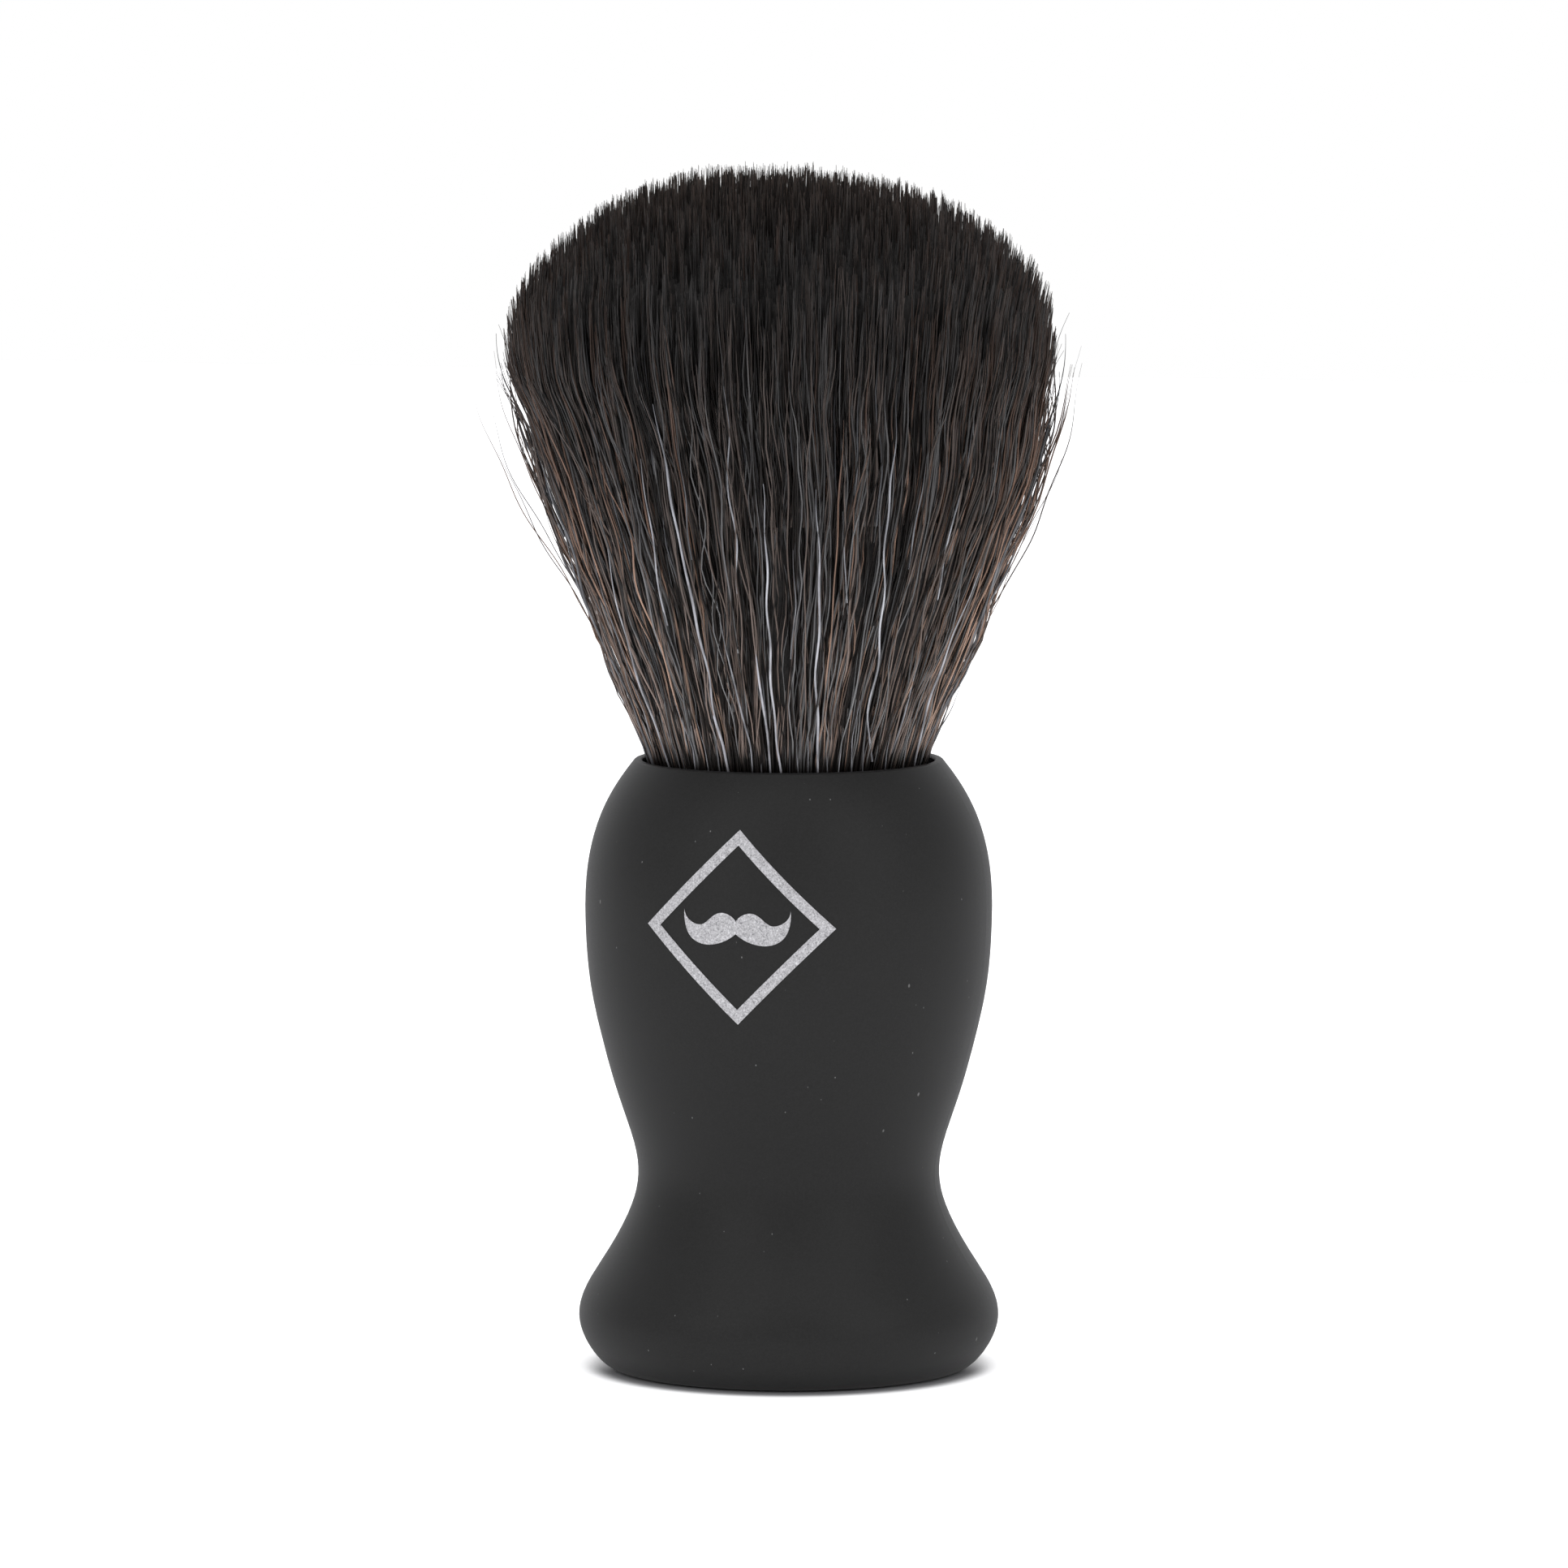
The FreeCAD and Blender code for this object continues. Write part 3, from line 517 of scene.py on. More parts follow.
def tubes(name, paths, radii, spin, tone, sides=3):
    """One mesh of closed tubes. paths is (strands, rings, 3) in mm, radii (strands, rings), and
    spin and tone have one value a strand."""
    count, rings = paths.shape[:2]
    tangent = np.gradient(paths, axis=1)
    tangent /= np.linalg.norm(tangent, axis=2, keepdims=True)
    spin_dir = np.stack([-np.sin(spin), np.cos(spin), 0 * spin], 1)[:, None, :]
    side = np.cross(tangent, spin_dir)
    side /= np.linalg.norm(side, axis=2, keepdims=True)
    other = np.cross(tangent, side)
    corners = []
    for i in range(sides):
        turn = 2 * math.pi * i / sides
        offset = math.cos(turn) * side + math.sin(turn) * other
        corners.append(paths + radii[..., None] * offset)
    body = np.stack(corners, 2)  # strand, ring, corner
    lids = body[:, [0, -1]]  # the end rings once more, so that each lid keeps a hard edge
    points = np.concatenate([body.reshape(count, -1, 3), lids.reshape(count, -1, 3)], 1)
    points = points.reshape(-1, 3) * MM

    per_strand = (rings + 2) * sides
    first = (np.arange(count) * per_strand)[:, None, None]
    ring = first + (np.arange(rings - 1) * sides)[None, :, None]
    corner = np.arange(sides)[None, None, :]
    following = (corner + 1) % sides
    quads = [ring + corner, ring + following, ring + sides + following, ring + sides + corner]
    quads = np.stack(quads, -1).reshape(-1, 4)
    lid = np.arange(count)[:, None] * per_strand + rings * sides
    order = np.arange(sides)[None, :]
    caps = np.concatenate([lid + order[:, ::-1], lid + sides + order])

    mesh = bpy.data.meshes.new(name)
    mesh.vertices.add(len(points))
    mesh.vertices.foreach_set("co", points.astype(np.float32).ravel())
    loops = np.concatenate([quads.ravel(), caps.ravel()]).astype(np.int32)
    mesh.loops.add(len(loops))
    mesh.loops.foreach_set("vertex_index", loops)
    cap_starts = len(quads) * 4 + np.arange(len(caps)) * sides
    starts = np.concatenate([np.arange(len(quads)) * 4, cap_starts])
    mesh.polygons.add(len(starts))
    mesh.polygons.foreach_set("loop_start", starts.astype(np.int32))

    # texture place: u inside the tone's column, with a margin of 0.14 of it, and v up the fibre
    along = np.clip((paths[..., 2] - FOOT) / (TIP - FOOT), 0.0, 1.0)
    shape = (count, rings - 1, sides, 4)
    across = 0.72 * (corner[..., None] + np.array([0, 1, 1, 0])) / sides
    u = np.broadcast_to(tone[:, None, None, None] + 0.14 + across, shape) / TONES
    low, high = along[:, :-1], along[:, 1:]
    v = np.broadcast_to(np.stack([low, low, high, high], -1)[:, :, None, :], shape)
    uvs = [np.stack([u, v], -1).reshape(-1, 2)]
    for end in (0, -1):
        centre = np.stack([(tone + 0.5) / TONES, along[:, end]], 1)
        uvs.append(np.repeat(centre, sides, 0))
    layer = mesh.uv_layers.new(name="OFBake")
    layer.data.foreach_set("uv", np.concatenate(uvs).astype(np.float32).ravel())

    mesh.materials.append(FIBRE)
    mesh.update(calc_edges=True)
    mesh.polygons.foreach_set("use_smooth", np.arange(len(starts)) < len(quads))
    mesh.update()
    return add_object(name, mesh)


def draw_tones(rng, angle, count):
    """A tone column for each fibre: dark, brownish and grey ones mixed, and coppery ones more
    often at the flanks, where there are fewer dark ones: painted light shining through the
    thin edge of the bundle."""

    def any_of(family):
        return rng.integers(family[0], family[1] + 1, count)

    pick = rng.random(count)
    flank_glow = np.abs(np.cos(angle)) ** 4
    column = any_of(DARK)
    column = np.where(pick > 0.43 - 0.27 * flank_glow, any_of(BROWN), column)
    column = np.where(pick > 0.73 - 0.06 * flank_glow, any_of(GREY), column)
    copper_glow_odds = 0.025 + 0.30 * flank_glow + 0.05 * rise(np.cos(angle), 0.1, 0.5)
    copper = rng.random(count) < copper_glow_odds
    return np.where(copper, any_of(COPPER), column).astype(float)


def tufts(rng, inner, outer, thin_from=2.0, thin=0.0):
    """Centres of the tufts as x, y in the crown's disc of radius 1, on a loose hexagonal grid.
    Past thin_from this part of them is left out."""
    step = 0.80 / CROWN_RADIUS  # tufts stand 0.80 mm apart
    reach = 1.02
    rows = []
    for i, y in enumerate(np.arange(-reach, reach, step * 0.866)):
        x = np.arange(-reach, reach, step) + (step / 2 if i % 2 else 0.0)
        rows.append(np.stack([x, np.full_like(x, y)], 1))
    found = np.concatenate(rows)
    found += rng.normal(0, 0.30 * step, found.shape)
    r = np.hypot(found[:, 0], found[:, 1])
    left_out = (r > thin_from) & (rng.random(len(r)) < thin)
    return found[(r >= inner) & (r < outer) & ~left_out]


class Strands:
    """A set of fibres, each with its own share of the radius, angle, waves, tuft and end.

    Spread, widths, drops and waves are in mm. wave scales all waviness, ragged shortens outer
    tufts, alike is the part of fibres with their tuft's tone, and tuck pulls the belly inwards.
    """

    def __init__(
        self, rng, centres, per_tuft, spread, width,
        wave=1.0, end_drop=0.5, ragged=0.0, alike=0.3, tuck=0.0,
    ):
        tuft_count = len(centres)
        n = tuft_count * per_tuft
        tuft = np.repeat(np.arange(tuft_count), per_tuft)
        centre = centres[tuft]
        offset = rng.normal(0, 1.0, (n, 2))
        own = centre + offset * spread / CROWN_RADIUS
        r = np.hypot(own[:, 0], own[:, 1])
        self.share = np.where(r > 0.985, 0.985 + rng.normal(0, 0.012, n), r)
        self.angle = np.arctan2(own[:, 1], own[:, 0])
        self.tuft_share = np.minimum(np.hypot(centre[:, 0], centre[:, 1]), 1.01)
        tuft_angle = np.arctan2(centre[:, 1], centre[:, 0])
        # turn from the fibre's angle to its tuft's, within half a circle
        self.turn = (tuft_angle - self.angle + math.pi) % (2 * math.pi) - math.pi

        # each tuft ends in a small dome of its own, flat at first and falling off at its edge
        drop = rng.random(tuft_count) ** 1.4 * end_drop
        shoulder = 1.25 - 0.30 * (offset**2).sum(1) ** 0.75
        shoulder = np.clip(shoulder, -0.6, 1.25) - 1.25
        level = dome_height(self.tuft_share) + unevenness(self.tuft_share, tuft_angle)
        self.end = level - drop[tuft] + shoulder - np.abs(rng.normal(0, 0.20, n))
        shorter = ragged * rng.exponential(1.0, tuft_count)[tuft]
        self.end -= shorter * rise(self.tuft_share, 0.92, 0.06)

        def tuft_wave(most, least):
            """Amount, wavelength and phase, shared by the fibres of a tuft."""
            limits = ((least, most), (9, 20), (0, 6.28))
            return tuple(rng.uniform(*pair, tuft_count)[tuft] for pair in limits)

        def own_wave(most, longest):
            """Amount, wavelength and phase of each fibre."""
            limits = ((0.02, most), (6.5, longest), (0, 6.28))
            return tuple(rng.uniform(*pair, n) for pair in limits)

        self.tuft_sideways = tuft_wave(most=0.24, least=0.04)
        self.own_sideways = own_wave(most=0.17, longest=12)
        self.tuft_outward = tuft_wave(most=0.20, least=0.02)
        self.own_outward = own_wave(most=0.13, longest=13)
        self.drift = rng.normal(0, 0.42, n)
        self.sway = rng.normal(0, 0.22, n)
        self.gather = rng.uniform(0.50, 0.85, tuft_count)[tuft]
        self.splay = np.zeros(n)
        self.splay_from = np.full(n, 60.0)
        self.start = np.full(n, ROOT)
        self.dive = np.zeros(n)
        self.wave = wave
        self.tuck = tuck
        self.width = width * rng.uniform(0.80, 1.15, n)
        self.spin = rng.uniform(0, 2 * math.pi, n)
        own_tone = draw_tones(rng, self.angle, n)
        tuft_tone = draw_tones(rng, tuft_angle[::per_tuft], tuft_count)[tuft]
        self.tone = np.where(rng.random(n) < alike, tuft_tone, own_tone)
        self.tone = np.where(rng.random(n) < 0.030, float(PALE[0]), self.tone)
        self.count = n

    def points(self, z):
        def column(values):
            return values[:, None]

        def wave(parts):
            amount, length, phase = (column(part) for part in parts)
            return amount * np.sin(2 * math.pi * z / length + phase)

        # waves grow from the mouth and calm down towards the dome
        grow = rise(z, 54.8, 6.0) * (1 - 0.62 * rise(z, 84.0, 16.0)) * self.wave
        sideways = grow * (
            wave(self.tuft_sideways)
            + wave(self.own_sideways)
            + column(self.drift) * np.sin((z - 56) / 34.0 * math.pi)
            + column(self.sway) * np.sin((z - 56) / 15.0 * math.pi)
        )
        outward = grow * (wave(self.tuft_outward) + wave(self.own_outward))

        # near its end a fibre is pulled to the middle of its tuft
        end = column(self.end)
        pull = rise(z, end - 5.5, 5.5) * column(self.gather)
        share = column(self.share) * (1 - pull) + column(self.tuft_share) * pull
        angle = column(self.angle) + column(self.turn) * pull

        # outermost fibres wave more; splayed ones leave the outline towards their end
        free_length = np.maximum(column(self.end - self.splay_from), 1.0)
        far = np.clip((z - column(self.splay_from)) / free_length, 0, 1)
        outward = outward * (0.6 + 1.1 * rise(share, 0.955, 0.04))
        outward = outward + column(self.splay) * far**1.4
        # both ends dive under the neighbours
        ends = 1 - rise(z, column(self.start), 3.0) * (1 - rise(z, end - 4.0, 4.0))
        outward = outward - column(self.dive) * ends
        outward = outward - self.tuck * rise(z, 57, 7) * (1 - rise(z, 86, 7))
        return place(share, angle, z, outward, sideways)

    def radius(self, z):
        taper = 1 - 0.80 * rise(z, self.end[:, None] - 6.5, 6.5)
        packed = 0.80 + 0.20 * rise(z, 56.0, 18.0)
        return 0.5 * self.width[:, None] * taper * packed

    def some(self, pick):
        """The picked fibres as a set of their own."""
        kept = Strands.__new__(Strands)
        for key, value in self.__dict__.items():
            if isinstance(value, np.ndarray):
                value = value[pick]
            elif isinstance(value, tuple):
                value = tuple(part[pick] for part in value)
            setattr(kept, key, value)
        return kept

    def build(self, name, span, rings, sides=3):
        """A mesh of these fibres within a span of heights, without pieces of 0.8 mm or less."""
        low = np.maximum(self.start, span[0])
        high = np.minimum(self.end, span[1])
        long_enough = high - low > 0.8
        kept = self.some(long_enough)
        low, high = low[long_enough, None], high[long_enough, None]
        z = low + (high - low) * np.linspace(0.0, 1.0, rings)[None, :]
        return tubes(name, kept.points(z), kept.radius(z), kept.spin, kept.tone, sides)


def on_circle(angle):
    return np.stack([np.cos(angle), np.sin(angle)], 1)


def coat_fibres(rng):
    """Whole fibres round the outside, from the mouth to the tip."""
    centres = tufts(rng, COAT_SHARE, 1.0, thin_from=0.966, thin=0.52)
    return Strands(
        rng, centres, per_tuft=7, spread=0.25, width=0.195,
        wave=0.9, end_drop=1.6, ragged=0.8, tuck=0.60,
    )


def fringe_fibres(rng):
    """Groups that stand proud of the outline all round, fewer at the flanks, and end early."""
    tried, each = 105, 3
    around = rng.uniform(0, 2 * math.pi, tried)
    around = around[(np.abs(np.cos(around)) < 0.90) | (rng.random(tried) < 0.45)]
    groups = len(around)
    centres = on_circle(around) * rng.uniform(0.984, 1.010, groups)[:, None]
    fringe = Strands(rng, centres, per_tuft=each, spread=0.20, width=0.180, wave=1.3)
    group_end = np.repeat(rng.uniform(80.0, 98.0, groups), each)
    fringe.end = np.minimum(fringe.end, group_end + rng.normal(0, 0.8, fringe.count))
    group_splay = np.repeat(rng.uniform(0.0, 1.0, groups) ** 1.5 * 1.7, each)
    fringe.splay = group_splay + rng.normal(0, 0.12, fringe.count)
    fringe.splay_from = np.repeat(rng.uniform(58.0, 84.0, groups), each)
    fringe.share = np.clip(fringe.share, 0.978, 1.006)
    return fringe


def under_fibres(rng):
    """Fibres under the coat, which only show where the dome turns in."""
    centres = tufts(rng, INNER_SHARE, COAT_SHARE)
    under = Strands(
        rng, centres, per_tuft=6, spread=0.26, width=0.190, end_drop=1.7, alike=0.6
    )
    under.start = np.full(under.count, 78.0)
    return under


def crown_fibres(rng):
    """The last few millimetres of the fibres in the dome's middle."""
    centres = tufts(rng, 0.0, INNER_SHARE)
    crown = Strands(
        rng, centres, per_tuft=5, spread=0.24, width=0.195, end_drop=1.3, alike=0.6
    )
    crown.start = np.maximum(88.3, crown.end - 8.0)
    return crown


def far_pale_fibres(rng):
    """Pale fibres on the sides that the viewer does not face."""
    n = 46
    turn = rng.uniform(math.radians(-24), math.radians(204), n)
    pale = Strands(rng, on_circle(turn) * 0.995, per_tuft=1, spread=0.02, width=0.22, wave=1.15)
    from_mouth = rng.random(n) < 0.6
    pale.start = np.where(from_mouth, 53.6, rng.uniform(58.0, 76.0, n))
    pale.end = pale.start + rng.uniform(6.0, 32.0, n)
    pale.dive = np.where(from_mouth, 0.10, 0.45)
    pale.share = np.full(n, 1.0)
    any_pale = rng.integers(PALE[0], PALE[1] + 1, n)
    pale.tone = np.where(np.abs(np.cos(turn)) > 0.75, PALE[0], any_pale).astype(float)
    return pale


rng = np.random.default_rng(2611)
coat = coat_fibres(rng)
fringe = fringe_fibres(rng)
under = under_fibres(rng)
crown = crown_fibres(rng)
far_pale = far_pale_fibres(rng)

coat_near = np.sin(coat.angle) < 0
crown_near = np.sin(crown.angle) < 0
lower_pieces = [coat.build("fibres_lower", LOWER, rings=11)]
upper_pieces = [
    coat.some(coat_near).build("fibres_upper_front", UPPER, rings=16),
    coat.some(~coat_near).build("fibres_upper_back", UPPER, rings=16),
]
lower_pieces.append(fringe.build("fringe_lower", LOWER, rings=11))
upper_pieces.append(fringe.build("fringe_upper", UPPER, rings=15))
upper_pieces.append(under.build("fibres_under", WHOLE, rings=9))
tip_pieces = [
    crown.some(crown_near).build("fibres_crown_front", WHOLE, rings=4),
    crown.some(~crown_near).build("fibres_crown_back", WHOLE, rings=4),
]
lower_pieces.append(far_pale.build("pale_far_lower", LOWER, rings=16, sides=6))
upper_pieces.append(far_pale.build("pale_far_upper", UPPER, rings=18, sides=6))

# ---------------------------------------------------------------- single fibres
# pale fibres on the near side: width, tone column, and the way up as points of
# (mm to the viewer's right of the axis, height)
PALE_ROWS = [
    (0.22, 31, [(-10.6, 54.9), (-11.4, 57.5), (-13.2, 62.5), (-15.2, 69.5), (-16.3, 76)]),
    (0.18, 30, [(-8.3, 54.9), (-8.6, 57.5), (-9.8, 60.5), (-10.6, 63)]),
    (0.25, 31, [
        (-5.3, 54.9), (-5.9, 58), (-6.8, 61), (-7.1, 64.5), (-8.2, 69), (-8.9, 73), (-10.2, 79),
        (-10.9, 84), (-12.0, 89),
    ]),
    (0.19, 31, [(-10.9, 68.8), (-11.6, 73), (-12.3, 78), (-13.1, 84.0)]),
    (0.17, 31, [(-4.6, 72.0), (-4.5, 76), (-5.3, 80.5), (-5.3, 86), (-5.7, 92)]),
    (0.22, 31, [(-0.6, 54.9), (-1.3, 60), (-1.6, 65), (-1.9, 71), (-2.0, 77), (-2.3, 82)]),
    (0.21, 31, [(-1.6, 54.9), (-1.9, 59.5), (-2.7, 64), (-3.1, 68.5), (-3.4, 71)]),
    (0.18, 30, [(-3.2, 54.9), (-3.4, 58), (-4.6, 62.5), (-5.6, 67), (-6.5, 71.5)]),
    (0.24, 31, [(2.6, 54.9), (2.6, 59), (2.4, 64.5), (2.8, 71), (2.6, 77.5), (2.4, 81.5)]),
    (0.17, 30, [(3.5, 54.9), (3.3, 58.0), (3.0, 60.0)]),
    (0.19, 31, [
        (7.5, 56.2), (6.9, 60), (7.9, 65), (8.4, 71), (8.6, 78), (9.3, 84), (9.6, 90),
    ]),
    (0.19, 30, [(5.6, 54.9), (5.7, 58.5), (6.3, 62.0)]),
    (0.18, 31, [(13.3, 71.0), (13.9, 75.5), (15.6, 82), (16.4, 87)]),
    (0.22, 31, [(11.3, 55.3), (11.8, 58), (12.9, 62.5), (14.9, 68.0), (17.2, 73.5)]),
    (0.18, 30, [(9.2, 56.5), (10.4, 61), (11.9, 66), (12.9, 70)]),
    (0.16, 30, [(0.9, 54.9), (0.7, 57.6), (0.5, 60)]),
    (0.17, 30, [(-11.9, 56.8), (-12.9, 60), (-14.9, 65)]),
    (0.15, 30, [(5.3, 70.0), (4.9, 75.0), (4.8, 79.5)]),
    (0.17, 30, [(-7.1, 54.9), (-7.5, 57.5), (-8.4, 60.5)]),
    (0.16, 29, [(-9.6, 54.9), (-10.2, 57.0), (-11.6, 60.5)]),
    (0.17, 31, [(4.4, 54.9), (4.6, 57.0), (4.9, 59.5)]),
    (0.16, 29, [(6.6, 54.9), (6.7, 58.0), (7.2, 61.0)]),
    (0.18, 30, [(8.6, 54.9), (8.8, 57.0), (9.5, 60.5)]),
    (0.17, 29, [(10.2, 54.9), (10.6, 57.5), (11.6, 61.0)]),
    (0.16, 29, [(-2.4, 54.9), (-2.5, 57.0), (-2.9, 59.5)]),
    (0.16, 30, [(1.7, 54.9), (1.8, 57.5), (1.7, 61.5)]),
    (0.16, 29, [(-6.1, 54.9), (-6.6, 58.5), (-7.9, 64.0)]),
    (0.15, 29, [(0.2, 66.0), (0.6, 71.0), (0.4, 76.0)]),
    (0.16, 29, [(-13.9, 63.0), (-16.3, 70.0), (-18.3, 77.0)]),
    (0.16, 29, [(10.6, 74.0), (11.4, 79.0), (12.4, 85.0)]),
    (0.15, 29, [(-8.6, 75.0), (-9.1, 80.0), (-9.9, 86.0)]),
    (0.15, 29, [(5.9, 80.0), (6.0, 86.0), (6.4, 92.0)]),
]
# long fibres that stand away from the flanks: side (1 is the viewer's right), width, and
# points of (mm out from the axis, height)
STRAYS = [
    (-1, 0.110, [(16.4, 65.0), (19.9, 71.5), (24.6, 79.0), (27.9, 87.5), (28.6, 90.0)]),
    (-1, 0.100, [(16.9, 66.0), (20.2, 72.0), (24.2, 79.0), (26.8, 86.5)]),
    (-1, 0.100, [(18.2, 69.5), (21.3, 74.5), (25.2, 81.5), (27.2, 89.5)]),
    (-1, 0.110, [(21.0, 76.5), (24.6, 84.0), (26.8, 92.5)]),
    (1, 0.130, [(18.2, 69.0), (20.9, 74.0), (23.7, 79.5), (25.3, 85.5), (26.5, 91.5)]),
    (1, 0.120, [(18.0, 68.5), (20.8, 74.2), (23.4, 79.3), (25.0, 85.0)]),
    (1, 0.080, [(15.6, 63.5), (18.9, 70.0), (21.9, 76.5), (24.6, 83.0)]),
    (1, 0.090, [(21.0, 78.0), (24.2, 85.0), (26.3, 93.0)]),
]
# pairs that follow the flanks, now touching the bundle and now leaving a gap: side, width, tone
# column, start and end height, least and most distance from the outline, times they leave it
LOOSE = [
    (1, 0.17, 25, 56.8, 82.0, -0.45, 0.42, 1.6),
    (1, 0.15, 12, 60.0, 89.0, -0.55, 0.50, 2.2),
    (1, 0.17, 3, 66.0, 94.0, -0.50, 0.55, 1.7),
    (1, 0.14, 27, 72.0, 93.0, -0.50, 0.85, 1.2),
    (1, 0.15, 11, 79.0, 96.0, -0.60, 0.75, 1.3),
    (-1, 0.16, 11, 56.6, 79.0, -0.45, 0.34, 1.7),
    (-1, 0.15, 26, 61.0, 88.0, -0.55, 0.38, 2.3),
    (-1, 0.17, 4, 68.0, 94.0, -0.50, 0.55, 1.6),
    (-1, 0.14, 13, 75.0, 95.0, -0.50, 0.90, 1.2),
]


def heights(start, end, span, rings):
    """Ring heights of a fibre within a span, or None where less than 1 mm of it is inside."""
    low, high = max(span[0], start), min(span[1], end)
    return None if high - low < 1.0 else np.linspace(low, high, rings)


def lay(name, strands, sides=3):
    """One mesh from strands of (path, radii, spin, tone)."""
    paths, radii, spins, tone = (np.array(values) for values in zip(*strands))
    return tubes(name, paths, radii, spins, tone, sides)


def near_pale_fibres(name, span, rings):
    """The fibres of PALE_ROWS, laid on the outline's near side."""
    strands = []
    for i, (width, tone, row) in enumerate(PALE_ROWS):
        across, up = np.array(row, float).T
        start, end = up[0], up[-1]
        z = heights(start, end, span, rings)
        if z is None:
            continue
        dense = np.linspace(start, end, 200)
        x = np.interp(z, dense, smooth_along(np.interp(dense, up, across), taps=31))
        grow = rise(z, 55.0, 5.0)
        amount = 0.075 + 0.045 * math.sin(5.1 * i)
        length = 8.2 + 1.6 * math.sin(2.3 * i)
        x = x + grow * amount * np.sin(2 * math.pi * z / length + 1.7 * i)

        # mm in front of the outline: they dive at the upper end, and at a start above the mouth
        proud = 0.16 + 0.10 * np.sin(z / 2.3 + i) * grow
        if start > 56.0:
            proud = proud - 0.60 * (1 - rise(z, start, 2.6))
        proud = proud - 0.65 * rise(z, end - 4.5, 4.5) - 0.12 * (1 - grow)
        outline = envelope(z)
        from_middle = np.minimum(np.abs(x - lean(z)), outline * 0.999)
        depth = np.sqrt(outline**2 - from_middle**2) + proud

        taper = 1 - 0.70 * rise(z, end - 9.0, 9.0)
        radii = 0.5 * width * taper * (0.92 + 0.08 * np.sin(z / 1.9 + i))
        strands.append((in_space(x, depth, z), radii, 1.3 * i, float(tone)))
    return lay(name, strands, sides=6)


def stray_fibres(name, span, rings):
    """The fibres of STRAYS and the pairs of LOOSE."""
    strands = []
    for i, (side, width, row) in enumerate(STRAYS):
        out, up = np.array(row, float).T
        z = heights(up[0], up[-1], span, rings)
        if z is None:
            continue
        curve = np.polyfit(up, out, min(3, len(up) - 1))
        wiggle = 0.18 * rise(z, up[0], 8.0) * np.sin(z / 1.5 + 2.0 * i)
        x = side * (np.polyval(curve, z) + wiggle)
        depth = 2.0 * math.sin(2.1 * i) + 0.3 * np.sin(z / 1.7 + i)
        radii = 0.5 * width * (1 - 0.8 * rise(z, up[-1] - 12.0, 12.0))
        tone = 26.0 if i % 3 == 0 else 12.0
        strands.append((in_space(x, depth, z), radii, 0.7 * i, tone))
    for i, (side, width, tone, first, last, least, most, times) in enumerate(LOOSE):
        for twin in range(2):
            # the second of a pair starts later and ends sooner
            start, end = first + 2.1 * twin, last - 3.4 * twin
            z = heights(start, end, span, rings)
            if z is None:
                continue
            part = (z - start) / (end - start)
            swing = (0.55 + 0.45 * part) * (0.5 - 0.5 * np.cos(2 * math.pi * times * part))
            away = least + (most - least) * swing
            away = away + 0.05 * np.sin(z / 1.6 + 2.0 * i + 1.4 * twin) - 0.07 * twin
            x = side * (envelope(z) + away) + lean(z)
            depth = 2.6 * math.sin(1.7 * i) + 0.35 * twin + 0.25 * np.sin(z / 2.1 + i)
            radii = 0.5 * width * (1 - 0.75 * rise(z, end - 8.0, 8.0))
            strands.append((in_space(x, depth, z), radii, 0.9 * i + twin, float(tone)))
    return lay(name, strands)


pale_low = near_pale_fibres("pale_near_lower", LOWER, rings=22)
pale_high = near_pale_fibres("pale_near_upper", UPPER, rings=26)
stray_low = stray_fibres("stray_fibres_lower", LOWER, rings=24)
stray_high = stray_fibres("stray_fibres_upper", UPPER, rings=44)


# ---------------------------------------------------------------- core of the bundle
def shaded_core_material():
    """Near-black with upright streaks: painted shade of the bundle's inside, darker than the
    fibres it stands for.
    """
    mat, tree, bsdf = new_material("knot_core")
    streak = noise(tree, scale=3.2, detail=3.0, roughness=0.65, stretch=(1.0, 1.0, 0.06))
    light_part = map_range(tree, streak, between=(0.35, 0.7))
    colour = mix_colour(tree, light_part, (0.0035, 0.0030, 0.0028), (0.014, 0.0115, 0.0105))
    set_inputs(tree, bsdf, Base_Color=colour, Roughness=0.8)
    bump(tree, bsdf, streak, strength=0.8, distance_mm=0.2)
    return mat


def core(name, rings, material):
    """A closed, finely ribbed shape round the bundle's leaning middle, from (radius, height)."""
    sides = 160
    ribs = 1 + 0.008 * np.random.default_rng(77).uniform(-1, 1, sides)
    angle = np.linspace(0, 2 * math.pi, sides, endpoint=False)
    points = []
    for r, z in rings:
        x = r * ribs * np.cos(angle) + lean(z)
        y = r * ribs * np.sin(angle)
        points.append(in_space(x, -y, z))
    for _, z in (rings[0], rings[-1]):
        points.append(in_space(lean(z), 0.0, z))
    points = np.vstack(points)

    bottom = len(rings) * sides  # the middle of the lower end; the upper one's follows it
    last = bottom - sides
    faces = []
    for ring in range(0, last, sides):
        for i in range(sides):
            n = (i + 1) % sides
            faces.append((ring + i, ring + n, ring + sides + n, ring + sides + i))
    for i in range(sides):
        n = (i + 1) % sides
        faces.append((bottom, n, i))
        faces.append((bottom + 1, last + i, last + n))
    mesh = bpy.data.meshes.new(name)
    mesh.from_pydata((points * MM).tolist(), [], faces)
    mesh.polygons.foreach_set("use_smooth", [True] * len(faces))
    mesh.materials.append(material)
    mesh.update()
    return add_object(name, mesh)


def core_side(low, high):
    """Core rings between two heights, narrower where the fibres under the coat are modelled."""
    rings = []
    for z in np.linspace(low, high, 16):
        filled = 0.925 - 0.070 * rise(z, 76.0, 7.0)
        rings.append((filled * float(envelope(z)), z))
    return rings


def core_dome():
    """Core rings over the top, 3.6 mm under the dome."""
    rings = []
    for share in np.sin(np.linspace(math.asin(0.985), 0.03, 22)) * 0.85:
        z = float(dome_height(share)) - 3.6
        rings.append((share * float(envelope(z)), z))
    return rings


